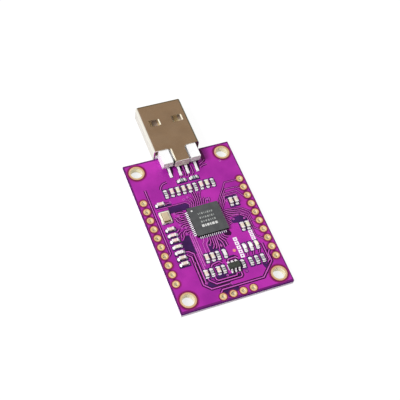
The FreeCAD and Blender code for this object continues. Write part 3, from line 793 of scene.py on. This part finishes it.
REACH, FRONT_REACH, LOW_ROW_REACH, LOW_ROW = 0.42, 0.5, 0.32, -13
ends, ways, halves, heights = part_ends()
front_reach = np.where(ends[:, 1] > LOW_ROW, FRONT_REACH, LOW_ROW_REACH)
part_reach = np.where(ways.sum(axis=1) < 0, front_reach, REACH)
part_solder = fillets(ends, ways, part_reach, halves + 0.02, 0.26 * heights)
print(len(ends), "part ends")

# %% Solder round the controller
PADS, PAD_PITCH = 14, 0.5
CHIP_WAYS = {"lower": (0, -1), "right": (1, 0), "upper": (0, 1), "left": (-1, 0)}
chip_middle = (chip_low + chip_high)[:2] / 2
chip_half = (chip_high - chip_low)[0] / 2
pad_steps = (np.arange(PADS) - (PADS - 1) / 2)[:, None] * PAD_PITCH
pad_places = np.concatenate([chip_middle + chip_half * np.array(way) + pad_steps * np.abs(way[::-1])
                             for way in CHIP_WAYS.values()])
pad_ways = np.repeat(list(CHIP_WAYS.values()), PADS, axis=0)
pad_reach, pad_half, pad_climb = (np.repeat(by_side, PADS) for by_side in (
    (0.6, 0.42, 0.42, 0.66),
    (0.095, 0.1, 0.1, 0.14),
    (0.3, 0.12, 0.12, 0.42),
))
chip_solder = fillets(pad_places, pad_ways, pad_reach, pad_half, pad_climb, rim=0.06, rows=4, columns=5)
print(len(pad_places), "controller pads")

# %% Cushions of solder under the other feet


def cushion(x0, x1, y0, y1, height):
    """The lowest and the highest corner of a flat cushion of solder on the board."""
    return (x0, y0, TOP), (x1, y1, TOP + height)


cushions = []
contact_places = [((low[0] + high[0]) / 2, low[1]) for low, high in map(box_mm, named("usb_contact"))]
for x, y in contact_places:
    cushions.append(cushion(x - 0.36, x + 0.36, y - 0.06, y + 1.3, 0.11))
REGULATOR_PITCH, INWARD, OUTWARD = 0.95, 0.45, 0.22
reg_low, reg_high = box_mm("regulator_leads")
for side, edge, half in ((-1, reg_low[1], 0.18), (1, reg_high[1], 0.25)):
    y0, y1 = sorted((edge - side * INWARD, edge + side * OUTWARD))
    for step in (-1, 0, 1):
        x = (reg_low[0] + reg_high[0]) / 2 + REGULATOR_PITCH * step
        cushions.append(cushion(x - half, x + half, y0, y1, 0.1))
PAST, UNDER_X, UNDER_Y = 0.05, 0.85, 1.05
crystal_low, crystal_high = box_mm("crystal_base")
(x0, y0), (x1, y1) = crystal_low[:2], crystal_high[:2]
for left, right in ((x0 - PAST, x0 + UNDER_X), (x1 - UNDER_X, x1 + PAST)):
    for front, back in ((y0 - PAST, y0 + UNDER_Y), (y1 - UNDER_Y, y1 + PAST)):
        cushions.append(cushion(left, right, front, back, 0.05))
all_solder = join([part_solder, chip_solder, soft_blocks(*zip(*cushions), 0.045)])
add_piece("solder_fillets", [(all_solder, solder_finish)],
          ["solder_joints", "main_chip_solder"])

# %% [markdown]
# ## Copper tracks under the mask
#
# A track is copper left standing between two etched gaps. From above it reads as a light ridge with a dark
# line on each side. The tracks are drawn once as plan lines; a wide dark strip follows each line just over
# the board, and a narrower light bar with sloping shoulders lies on it. Lines that run close together share
# narrow gaps and broad ridges, so that they still read as lines of their own.

# %% Lines from the controller's right side
LAND = 0.6
RING_RADIUS, HEADER_PITCH = 0.875, 2.54
right_pads_y = [box_mm("header_hole_rings_right")[1][1] - RING_RADIUS - HEADER_PITCH * i for i in range(10)]
pad_edge = 11.75


def from_leads(side, table):
    """Lines from the controller's leads on one side. The leads are counted along +X or +Y, and the table has
    the points that each one's line goes through."""
    first, way = PADS * list(CHIP_WAYS).index(side), np.array(CHIP_WAYS[side])
    return [[tuple(pad_places[first + number] + LAND * way), *points] for number, points in table.items()]


def right_lines():
    """Four lines climb from the controller's right side to the upper pads, four run in step to the lower
    ones, and the rest are short and stop at the bare area."""
    lines = from_leads("right", {
        13: [(5.35, 4.9), (8.6, 9.4), (pad_edge, right_pads_y[0])],
        12: [(5.75, 4.8), (7.9, 7.5), (11.0, 7.3), (pad_edge, right_pads_y[1])],
        11: [(6.15, 4.6), (7.4, 6.3), (10.6, 6.3), (11.2, 5.3), (pad_edge, right_pads_y[2])],
        10: [(6.5, 4.1), (7.0, 5.55), (9.8, 5.6), (10.4, 5.0)],
    })
    for i in range(4):
        level, bend_x, goal = 1.8 - 0.5 * i, 11.35 - 0.4 * i, right_pads_y[4 + i]
        points = [(6.0, level + 0.05), (bend_x - 1.6, level - 0.55), (bend_x, level - 1.9),
                  (bend_x, goal + pad_edge - bend_x), (pad_edge, goal)]
        lines += from_leads("right", {9 - i: points})
    lines += from_leads("right", {5: [(6.0, -0.2), (9.0, -0.35), (9.6, -0.55)]})
    return lines + from_leads("right", {4 - i: [(6.05, -0.75 - 0.42 * i)] for i in range(4)})


# %% Lines from the controller's other sides


def left_lines():
    """Short bent lines between the controller's left side and the column of parts, and three short ones that
    join parts of the column."""
    return from_leads("left", {
        13: [(-4.6, 4.3), (-5.4, 4.45), (-6.45, 4.4)],
        12: [(-4.6, 3.6), (-5.1, 3.8), (-5.5, 3.75)],
        11: [(-4.9, 3.1)],
        10: [(-4.7, 2.3), (-5.3, 2.35), (-5.75, 2.8), (-5.8, 3.4)],
        9: [(-4.8, 1.75), (-5.6, 1.7), (-6.1, 1.8), (-6.5, 2.3), (-6.5, 2.8), (-6.9, 3.2)],
        8: [(-4.7, 1.2), (-5.4, 1.25)],
        7: [(-4.8, 0.65), (-5.5, 0.65), (-5.9, 0.45), (-6.15, 0.15)],
        6: [(-4.7, 0.1), (-5.1, -0.05)],
        5: [(-4.6, -0.35)],
        4: [(-4.9, -0.85), (-5.5, -0.7), (-5.9, -0.95), (-6.3, -1.4), (-6.45, -2.3), (-6.9, -2.95)],
        3: [(-4.8, -1.4), (-5.5, -1.6)],
    }) + [
        [(-7.7, -1.5), (-7.3, -1.15), (-6.65, -0.7)],
        [(-7.6, -0.5), (-7.1, -0.2), (-6.8, 0.3)],
        [(-7.0, -1.6), (-7.1, -2.5)],
    ]


def upper_lines():
    """Curved lines from the controller's upper side: one goes far left over the bare strip, two end in vias
    and the rest climb to the row of parts behind the plug."""
    return from_leads("upper", {
        1: [(-2.0, 5.7), (-2.4, 6.4), (-3.0, 6.72), (-10.2, 6.75)],
        2: [(-1.45, 5.8), (-1.5, 6.4), (-1.9, 6.95), (-2.6, 7.4)],
        3: [(-0.95, 5.9), (-0.9, 6.7), (-1.2, 7.4), (-1.8, 8.0)],
        4: [(-0.4, 5.9), (-0.32, 7.0), (-0.4, 9.0)],
        5: [(0.05, 5.9), (0.17, 7.0), (0.15, 9.0)],
        6: [(0.5, 5.9), (0.65, 7.2), (0.72, 9.0)],
        7: [(0.98, 5.7), (1.15, 6.8), (1.35, 8.0), (2.0, 8.9)],
        8: [(1.55, 5.7), (1.75, 6.3), (2.2, 6.75)],
        9: [(2.1, 5.7), (2.25, 6.2)],
        11: [(3.2, 5.8), (3.2, 6.5)],
    })


def lower_lines():
    """Curved lines from the controller's lower side, which part round the bare patch and its loose ends."""
    return from_leads("lower", {
        4: [(-0.85, -5.2), (-1.0, -5.8), (-1.4, -6.2)],
        5: [(-0.35, -6.3), (-0.65, -7.0), (-1.1, -7.4)],
        6: [(0.12, -6.9), (-0.25, -7.6)],
        7: [(0.62, -6.6), (0.45, -7.9)],
        8: [(1.15, -5.3), (1.6, -6.0), (1.78, -6.7), (1.78, -7.8)],
        9: [(1.7, -5.0), (2.1, -5.6), (2.5, -6.2), (2.6, -7.6)],
        10: [(2.2, -4.7), (2.6, -5.3), (3.2, -5.8)],
        11: [(2.7, -4.5), (3.1, -5.0), (3.8, -5.3)],
    }) + [[(1.15, -6.6), (0.95, -7.0), (1.15, -7.4), (1.35, -7.0)]]


def close_lines():
    """Long lines side by side from the controller's lower left corner, with hardly a gap between."""
    return from_leads("left", {
        2: [(-4.6, -1.8), (-4.95, -2.3), (-4.98, -12.4)],
        1: [(-4.35, -2.35), (-4.52, -2.8), (-4.52, -11.2)],
        0: [(-4.0, -3.0), (-4.05, -8.2)],
    }) + from_leads("lower", {
        1: [(-2.4, -4.8), (-2.95, -5.4), (-3.0, -8.0)],
        3: [(-1.4, -4.9), (-1.95, -5.5), (-2.15, -6.2), (-2.15, -8.0)],
    })


# %% Lines over the rest of the board


def loop_lines():
    """Lines that run down the left, turn along the lower end and come up on the right."""
    return [
        [(-7.6, -6.3), (-6.9, -6.4), (-5.9, -7.3), (-5.9, -15.35)],
        [(-7.5, -7.2), (-6.7, -8.0), (-6.7, -15.7), (-5.2, -17.2), (-0.4, -17.2)],
        [(-3.5, -18.75), (-2.9, -18.1), (7.6, -18.05), (11.1, -14.6), (11.1, -12.5), (pad_edge, -11.6)],
        [(-5.1, -14.4), (-5.0, -15.0), (-3.65, -16.32), (2.6, -16.32), (3.0, -15.9), (3.0, -15.1)],
        [(-3.4, -14.4), (-3.3, -15.2), (-2.9, -15.62), (1.7, -15.62), (2.0, -15.1)],
        [(-3.3, -11.9), (-2.8, -11.25), (-1.1, -10.95), (-0.4, -11.5)],
        [(0.9, -11.8), (1.3, -11.1), (3.1, -11.0), (3.6, -11.4)],
        [(10.75, -9.4), (10.75, -14.1), (10.2, -14.5)],
    ]


def side_lines():
    """A long straight line beside the left row of holes, the lamps' short ones, and short ones between the
    parts near the plug's feet."""
    lines = [[(-11.15, 12.8), (-11.15, -5.6), (-11.7, -6.2)]]
    lines += [[(x + 0.1, -10.8), (x - 0.25, -11.7)] for x in (6.4, 7.9, 9.4)]
    lines += [[(-7.85, 7.55), (-6.5, 7.75)], [(-7.4, 11.9), (-7.0, 12.7), (-6.3, 13.35), (-5.2, 13.55)],
              [(4.5, 15.5), (5.3, 15.9), (6.4, 16.0)], [(4.6, 16.4), (5.6, 16.9), (6.3, 17.4)],
              [(-0.95, 14.5), (-1.2, 14.1), (-1.5, 13.7)], [(1.05, 14.5), (0.9, 14.1), (0.6, 13.7)],
              [(0.2, 16.8), (0.25, 14.9), (-0.1, 14.0)], [(2.25, 16.6), (2.25, 14.6), (1.8, 13.9)]]
    return lines


# %% Gaps and ridges along the lines
SKIN = 0.008
RIDGE_TOP, SHOULDER = 0.035, 0.03
bundles = [
    (right_lines() + upper_lines(), 0.52, 0.2),
    (left_lines() + lower_lines() + side_lines(), 0.7, 0.24),
    (loop_lines(), 0.86, 0.28),
    (close_lines(), 0.46, 0.34),
]
gaps = join([strips(lines, gap, TOP, TOP + SKIN) for lines, gap, _ in bundles])
ridges = join([strips(lines, ridge, TOP, TOP + RIDGE_TOP, SHOULDER) for lines, _, ridge in bundles])
print(sum(len(lines) for lines, _, _ in bundles), "track lines")
add_piece("track_clearances", [(gaps, clearance_and_shade_finish)], crease=30)
add_piece("copper_tracks", [(ridges, track_finish)], crease=30)

# %% [markdown]
# ## Bare laminate, openings and vias
#
# Where the copper plane is cut away the mask lies on laminate and goes dark. The mask itself stops a little
# short of each pad, which leaves a thin dark ring or frame round it, and a fainter red one where the plane
# begins. The frames round the parts, the crystal and the controller are that opening, widened with painted
# shade. Vias are small plated holes under the mask and show as a light ring with a dark middle. The painted
# shade beside the plug's feet, its right block, the regulator and the controller's lower right corner is laid
# down with these flat patches too, because the soft studio light alone leaves it too pale.

# %% Areas without copper


def patches(outlines, skins):
    """Flat patches on the board, so many skins thick."""
    return slabs(outlines, TOP, TOP + skins * SKIN)


bare_areas = [
    [(-7.45, 4.65), (-2.3, 4.65), (-2.05, 4.9), (-2.05, 6.0), (-2.6, 6.45), (-7.45, 6.45)],
    [(-7.6, -6.0), (-7.6, -3.4), (-6.6, -3.0), (-6.1, -2.2), (-5.25, -2.2), (-5.25, -7.6), (-5.6, -7.4),
     (-6.6, -6.3)],
    [(6.1, -2.1), (6.6, -2.4), (9.8, -2.5), (10.1, -1.9), (9.7, -1.0), (9.0, -0.65), (6.7, -0.65),
     (6.1, -1.2)],
    [(-2.0, -7.95), (1.6, -7.95), (1.6, -6.3), (1.2, -5.6), (0.4, -5.0), (-1.3, -5.0), (-1.9, -5.8)],
    [(2.15, -7.7), (2.45, -7.7), (2.4, -6.5), (2.1, -6.2)],
    [(-5.75, -15.6), (-5.2, -15.3), (-3.8, -16.6), (-0.1, -16.6), (-0.4, -16.98), (-4.95, -16.98),
     (-5.75, -16.2)],
    [(-3.5, -16.05), (-3.1, -15.85), (1.8, -15.85), (2.3, -15.3), (2.8, -15.5), (2.5, -16.1)],
    [(-3.15, -14.4), (-1.0, -14.4), (-0.6, -14.7), (1.7, -14.9), (1.6, -15.4), (-2.9, -15.4)],
    [(8.6, -14.6), (9.7, -14.9), (10.2, -14.7), (10.35, -15.0), (9.1, -16.2), (8.8, -15.6)],
    [(6.5, 4.95), (7.0, 4.6), (7.4, 4.95), (10.0, 4.95), (10.0, 5.3), (7.1, 5.3)],
    rectangle(-9.7, -6.2, 6.95, 7.55),
    rectangle(7.3, 10.05, 1.95, 2.4),
    rectangle(0.9, 3.1, -10.65, -10.35),
    [(-2.9, -19.2), (-2.3, -19.4), (-2.2, -20.4), (-1.5, -20.4), (-1.2, -19.5), (0.9, -19.5), (1.2, -19.2),
     (1.0, -18.45), (-2.9, -18.45)],
]
add_piece("laminate_areas", [(patches(bare_areas, 0.5), laminate_finish)])

# %% Mask openings round pads and parts


def centres_of(node, count, along):
    """The hole centres of a straight row, from its node's box."""
    low, high = box_mm(node)
    middle = (low + high)[:2] / 2
    centres = np.repeat(middle[None], count, axis=0)
    centres[:, along] += (np.arange(count) - (count - 1) / 2) * HEADER_PITCH
    return centres


def opening(inner, outer, skins=1.5):
    """The profile of a thin flat ring on the board."""
    return flat_ring(inner, outer, TOP, TOP + skins * SKIN)


row_holes = np.concatenate([centres_of(f"header_hole_rings_{side}", 10, 1) for side in ("left", "right")])
end_holes = centres_of("end_row_hole_rings", 4, 0)
small_holes = np.concatenate([row_holes, end_holes])
ring_high = box_mm("mounting_hole_rings")[1]
MOUNT_RADIUS = 2.0
big_holes = [(sx * (ring_high[0] - MOUNT_RADIUS), sy * (ring_high[1] - MOUNT_RADIUS))
             for sx in (-1, 1) for sy in (-1, 1)]

# The frames are partly the mask's openings and partly painted shade round the parts.
FRAME_SIDE, FRAME_END, FRAME_FRONT, FRAME_BACK = 0.27, 0.66, 0.42, 0.12
frames = [
    grown(crystal_low, crystal_high, left=0.12, right=0.3, front=0.25, back=0.45),
    rectangle(chip_low[0] + 0.5, chip_high[0] - 0.5, chip_low[1] - 0.56, chip_low[1] + 0.1),
    rectangle(chip_low[0] - 0.6, chip_low[0] + 0.1, chip_low[1] + 0.5, chip_high[1] - 0.5),
]
for node in named("capacitor") + named("resistor") + named("led"):
    low, high = box_mm(node)
    wide, front, back = (FRAME_END, FRAME_FRONT, FRAME_BACK)
    if long_axis(low, high):
        wide, front, back = (FRAME_SIDE, FRAME_END, FRAME_END)
    frames.append(grown(low, high, wide, wide, front, back))
# Painted shade in the clearance colour: round the regulator, at the controller's lower right corner, and
# beside each of the plug's feet.
shades = [grown(reg_low, reg_high, left=-0.1, right=0.5, front=0.35, back=0.3),
          [(2.85, -3.75), (4.55, -3.6), (4.85, -4.6), (4.4, -5.25), (3.35, -4.9)]]
foot_shade = np.array([(-0.42, -0.12), (0.4, -0.12), (0.72, 0.9), (1.05, 1.7), (1.15, 3.3), (-0.42, 3.3)])
shades += [foot_shade + place for place in contact_places]
block_shade = [(5.7, 16.5), (6.2, 16.7), (6.7, 17.4), (6.6, 20.4), (5.7, 20.9)]
via_openings = rings(opening(0.28, 0.46), [(4.3, -15.35), (2.7, 6.05)])
halos = join([
    rings(opening(RING_RADIUS, 1.1), small_holes),
    rings(opening(MOUNT_RADIUS, 2.3), big_holes, 48),
])
faint_halos = join([
    rings(opening(RING_RADIUS, 1.36, 0.7), row_holes),
    rings(opening(RING_RADIUS, 1.15, 0.7), end_holes),
    rings(opening(MOUNT_RADIUS, 2.56, 0.7), big_holes, 48),
])
opening_layers = [
    (join([patches(frames, 1.5), via_openings]), laminate_finish),
    (halos, halo_finish),
    (faint_halos, faint_halo_finish),
    (patches(shades, 1.2), clearance_and_shade_finish),
    (patches([block_shade], 1), shaded_finish),
]
add_piece("mask_openings", opening_layers)

# %% [markdown]
# ## Plated rows
#
# The solid model gives the small plated holes a few flat sides to stay light. Here they are turned round
# again, as spools whose pads lap a little over the mask, and the edge of the hole is rolled. The mask laps
# over the outer edge of each pad and tints it, which is a thin darker rim.

# %% Plated rows
PAD_RADIUS, HOLE_RADIUS, PLATING, ROLL, NECK = 0.9, 0.5, 0.05, 0.025, 0.04
PAD_RIM, RIM_LAP, RIM_DEPTH, RIM_PROUD = 0.12, 0.02, 0.01, 0.003
level = TOP + PLATING
spool = [
    (HOLE_RADIUS, -PLATING + ROLL), (HOLE_RADIUS + ROLL, -PLATING), (PAD_RADIUS, -PLATING), (PAD_RADIUS, 0),
    (PAD_RADIUS - NECK, 0), (PAD_RADIUS - NECK, TOP), (PAD_RADIUS, TOP), (PAD_RADIUS, level - ROLL),
    (PAD_RADIUS - ROLL, level), (HOLE_RADIUS + ROLL, level), (HOLE_RADIUS, level - ROLL),
]
rim_places = ((PAD_RADIUS + RIM_LAP, small_holes), (MOUNT_RADIUS + RIM_LAP, big_holes))
rims = join([rings(flat_ring(radius - PAD_RIM, radius, level - RIM_DEPTH, level + RIM_PROUD), centres, 32)
             for radius, centres in rim_places])
row_layers = [(rings(spool, small_holes, 32), gold_finish), (rims, pad_rim_finish)]
add_piece("plated_rows", row_layers,
          ["header_hole_rings_left", "header_hole_rings_right", "end_row_hole_rings"])

# %% Vias
VIA_HOLE, VIA_RADIUS, VIA_SLOPE, CENTRE = 0.12, 0.3, 0.03, 0.001
via_places = [(6.75, -1.2), (9.4, -1.7), (4.3, -15.35), (-0.4, -15.0), (2.7, 6.05), (7.1, 4.2), (-6.6, -9.8),
              (-0.4, -17.2), (-0.5, 15.3), (0.9, 14.6), (-5.9, -15.35), (-6.45, 4.4), (-5.8, 3.4),
              (-6.3, 1.1), (-6.15, 0.15), (-5.55, -1.65), (-1.4, -6.2), (-1.8, 8.0), (-6.4, 7.75),
              (-7.6, 7.65), (10.0, 15.9), (-2.9, 7.6), (-5.1, -0.05)]
via_ring = [(VIA_HOLE, TOP), (VIA_RADIUS, TOP), (VIA_RADIUS - VIA_SLOPE, TOP + RIDGE_TOP),
            (VIA_HOLE + VIA_SLOPE, TOP + RIDGE_TOP)]
via_hole = flat_ring(CENTRE, VIA_HOLE, TOP, TOP + SKIN)
via_layers = [
    (rings(via_ring, via_places, 16), track_finish),
    (rings(via_hole, via_places, 12), laminate_finish),
]
add_piece("vias", via_layers)

# %% [markdown]
# ## Print
#
# Print is a thin layer of white paint: words on the real board, plain shapes of the same size here. Rows of
# short bars on the controller and two columns of hollow blocks beside the parts keep the look of print. One
# white bar along the regulator's left side is no print but a painted highlight of that lit side.

# %% White shapes on the controller


def bars_in_row(x0, x1, y, widths, height):
    """Short upright bars along a row, each with its own width, with even gaps between them."""
    widths = np.array(widths, float)
    gap = (x1 - x0 - widths.sum()) / (len(widths) - 1)
    starts = x0 + np.concatenate([[0], np.cumsum(widths[:-1] + gap)])
    return [rectangle(x, x + w, y - height / 2, y + height / 2) for x, w in zip(starts, widths)]


NARROW, WIDE, ROW_HEIGHT = 0.16, 0.34, 0.5
PRINT_SKIN = 0.006
chip_top = chip_high[2]
chip_rows = []
for y, pattern in ((2.2, "nnwnnwnw"), (1.05, "wnnwwnwn"), (-0.05, "wnwwnnw")):
    widths = [WIDE if step == "w" else NARROW for step in pattern]
    chip_rows += bars_in_row(-1.35, 2.35, y, widths, ROW_HEIGHT)
bold_row = bars_in_row(-1.55, 2.45, -1.2, (0.62, 0.3, 0.56, 0.3, 0.66, 0.6), 0.68)
print_layers = [(slabs(rows, chip_top, chip_top + PRINT_SKIN), ink)
                for rows, ink in ((chip_rows, chip_print_finish), (bold_row, bold_print_finish))]
add_piece("chip_print", print_layers)

DOT_FLOOR, DOT_RADIUS, DOT_INSET = 0.03, 0.24, 1.0
dot = flat_ring(CENTRE, DOT_RADIUS, chip_top - DOT_FLOOR, chip_top - DOT_FLOOR / 2)
dot_place = [(chip_low[0] + DOT_INSET, chip_high[1] - DOT_INSET)]
add_piece("pin_one_dot", [(rings(dot, dot_place), bold_print_finish)])

# %% White shapes on the board


def hollow_block(x, y, width, length, line):
    """The four strokes of an open rectangle."""
    x0, x1, y0, y1 = x - width / 2, x + width / 2, y - length / 2, y + length / 2
    return [rectangle(x0, x1, y0, y0 + line), rectangle(x0, x1, y1 - line, y1),
            rectangle(x0, x0 + line, y0 + line, y1 - line), rectangle(x1 - line, x1, y0 + line, y1 - line)]


marks = []
for y in np.linspace(-6.55, -11.25, 5):
    marks += hollow_block(4.95, y, 0.96, 0.96, 0.3)
for y in np.linspace(-5.65, -7.6, 3):
    marks += hollow_block(9.35, y, 0.96, 0.84, 0.28)
# Painted highlight: a white bar along the regulator's lit left side, no print.
marks.append(rectangle(0.42, 0.68, -13.95, -12.45))
add_piece("white_marks", [(patches(marks, 2), print_and_highlight_finish)])

# %% [markdown]
# ## Floor, light and camera
#
# The module lies on white. A camera ray that meets the floor sees mostly plain white with a touch of lit
# surface, so the shadow stays, while the light that the floor throws back on the module is that of a real
# pale surface. Under the board the floor's own white is a little greyer, as a contact shadow. The sky is
# bright behind the left of the plug and dim in front. Metal sees a white room with a dim, warm ceiling and a
# dark far right. One large lamp on the left draws the short shadows to the right.

# %% Floor
FLOOR_HALF, FLOOR_GAP = 3.0, 0.01
FLOOR_GLOW, CONTACT_SHADOW, SHADOW_INSET = 0.93, 0.16, 0.6
floor_level = (min(box_mm("mounting_hole_rings")[0][2], board_low[2]) - FLOOR_GAP) * MM
floor_mesh = bpy.data.meshes.new("floor")
floor_mesh.from_pydata([(sx * FLOOR_HALF, sy * FLOOR_HALF, floor_level)
                        for sx, sy in ((-1, -1), (1, -1), (1, 1), (-1, 1))], [], [(0, 1, 2, 3)])
floor = bpy.data.objects.new("floor", floor_mesh)
bpy.context.scene.collection.objects.link(floor)
floor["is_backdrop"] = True


def grey(level):
    """A neutral colour of one level in all three channels."""
    return (level, level, level, 1)


floor_material = bpy.data.materials.new("white_floor")
floor_material.use_nodes = True
floor_material.node_tree.nodes.clear()
tree, x, y, z = place_axes(floor_material)
rays = add_node(tree, "LightPath").outputs
seen = any_of(tree, rays["Is Camera Ray"], rays["Is Glossy Ray"], rays["Is Transmission Ray"])
under = within(tree, x, y, board_low[0] + SHADOW_INSET, board_high[0] - SHADOW_INSET,
               board_low[1] + SHADOW_INSET, board_high[1] - SHADOW_INSET)
strength = math_node(tree, "SUBTRACT", FLOOR_GLOW, math_node(tree, "MULTIPLY", under, CONTACT_SHADOW))
glow = add_node(tree, "Emission", {"Color": grey(1), "Strength": strength})
lit, plain = (add_node(tree, "BsdfDiffuse", {"Color": grey(level)}) for level in (0.12, 0.6))
both = add_node(tree, "AddShader", {0: glow.outputs[0], 1: lit.outputs[0]})
choice = add_node(tree, "MixShader", {0: seen, 1: plain.outputs[0], 2: both.outputs[0]})
add_node(tree, "OutputMaterial", {0: choice.outputs[0]})
floor_mesh.materials.append(floor_material)
print("floor at", round(floor_level / MM, 3), "mm")

# %% World


def facing(tree, direction, towards, low, high):
    """From 0 to 1 as a direction turns towards a given one."""
    dot = add_node(tree, "VectorMath", {0: direction, 1: towards}, operation="DOT_PRODUCT")
    return stretched(tree, dot.outputs["Value"], low, high)


world = bpy.data.worlds.new("studio")
bpy.context.scene.world = world
world.use_nodes = True
tree = world.node_tree
tree.nodes.clear()
way = add_node(tree, "TexCoord").outputs["Generated"]
height = add_node(tree, "SeparateXYZ", {0: way}).outputs["Z"]
sky = mixed(tree, facing(tree, way, (-0.45, 0.72, 0.53), -0.6, 0.9), grey(0.05), grey(1.3))
far_right = mixed(tree, facing(tree, way, (0.75, 0.66, 0), 0.35, 0.6), grey(1), (0.07, 0.06, 0.05, 1))
room_colour = mixed(tree, stretched(tree, height, 0.45, 0.68), far_right, (0.36, 0.24, 0.145, 1))
backdrop, ambient, room = (
    add_node(tree, "Background", {"Color": colour, "Strength": strength}).outputs[0]
    for colour, strength in ((grey(1), 1.0), (sky, 0.62), (room_colour, 1.0))
)
rays = add_node(tree, "LightPath").outputs
mirrored = any_of(tree, rays["Is Glossy Ray"], rays["Is Transmission Ray"])
unseen = add_node(tree, "MixShader", {0: mirrored, 1: ambient, 2: room}).outputs[0]
surround = add_node(tree, "MixShader", {0: rays["Is Camera Ray"], 1: unseen, 2: backdrop}).outputs[0]
add_node(tree, "OutputWorld", {0: surround})
print("world of", len(tree.nodes), "nodes")

# %% Lamp
LAMP_DISTANCE = 0.6
lamp_way = Vector((-0.72, -0.08, 0.7)).normalized()
lamp = bpy.data.lights.new("key", "AREA")
lamp.shape = "DISK"
lamp.size = 0.24
lamp.energy = 3.0
lamp_object = bpy.data.objects.new("key", lamp)
lamp_turn = lamp_way.to_track_quat("Z", "Y").to_matrix().to_4x4()
lamp_object.matrix_world = Matrix.Translation(lamp_way * LAMP_DISTANCE) @ lamp_turn
bpy.context.scene.collection.objects.link(lamp_object)
print("lamp of", lamp.energy, "W at", LAMP_DISTANCE, "m")

# %% Camera
AZIMUTH = math.radians(-30.878)
ELEVATION = math.radians(56.489)
CAMERA_ROLL = math.radians(11.68)
DISTANCE = 208.4 * MM
AIM = Vector((0.88, 6.306, 1.6)) * MM
level_part = math.cos(ELEVATION)
back = Vector((math.sin(AZIMUTH) * level_part, -math.cos(AZIMUTH) * level_part, math.sin(ELEVATION)))
right = (-back).cross(Vector((0, 0, 1))).normalized()
up = right.cross(-back)
right_rolled = math.cos(CAMERA_ROLL) * right + math.sin(CAMERA_ROLL) * up
up_rolled = -math.sin(CAMERA_ROLL) * right + math.cos(CAMERA_ROLL) * up
camera = bpy.data.cameras.new("camera")
camera.lens = 76.72
camera.sensor_width = 36
camera.clip_start = 0.001
camera_object = bpy.data.objects.new("camera", camera)
turn = Matrix((right_rolled, up_rolled, back)).transposed().to_4x4()
camera_object.matrix_world = Matrix.Translation(AIM + back * DISTANCE) @ turn
bpy.context.scene.collection.objects.link(camera_object)
bpy.context.scene.camera = camera_object
bpy.context.scene.view_settings.view_transform = "Standard"
print("camera of", round(camera.lens, 2), "mm at", round(DISTANCE / MM, 1), "mm")

# %% Measure and finish
dressed_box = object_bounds()
corners = [[round(v / MM, 2) for v in corner] for corner in (*solid_box, *dressed_box)]
print("solid and dressed box in mm", corners)
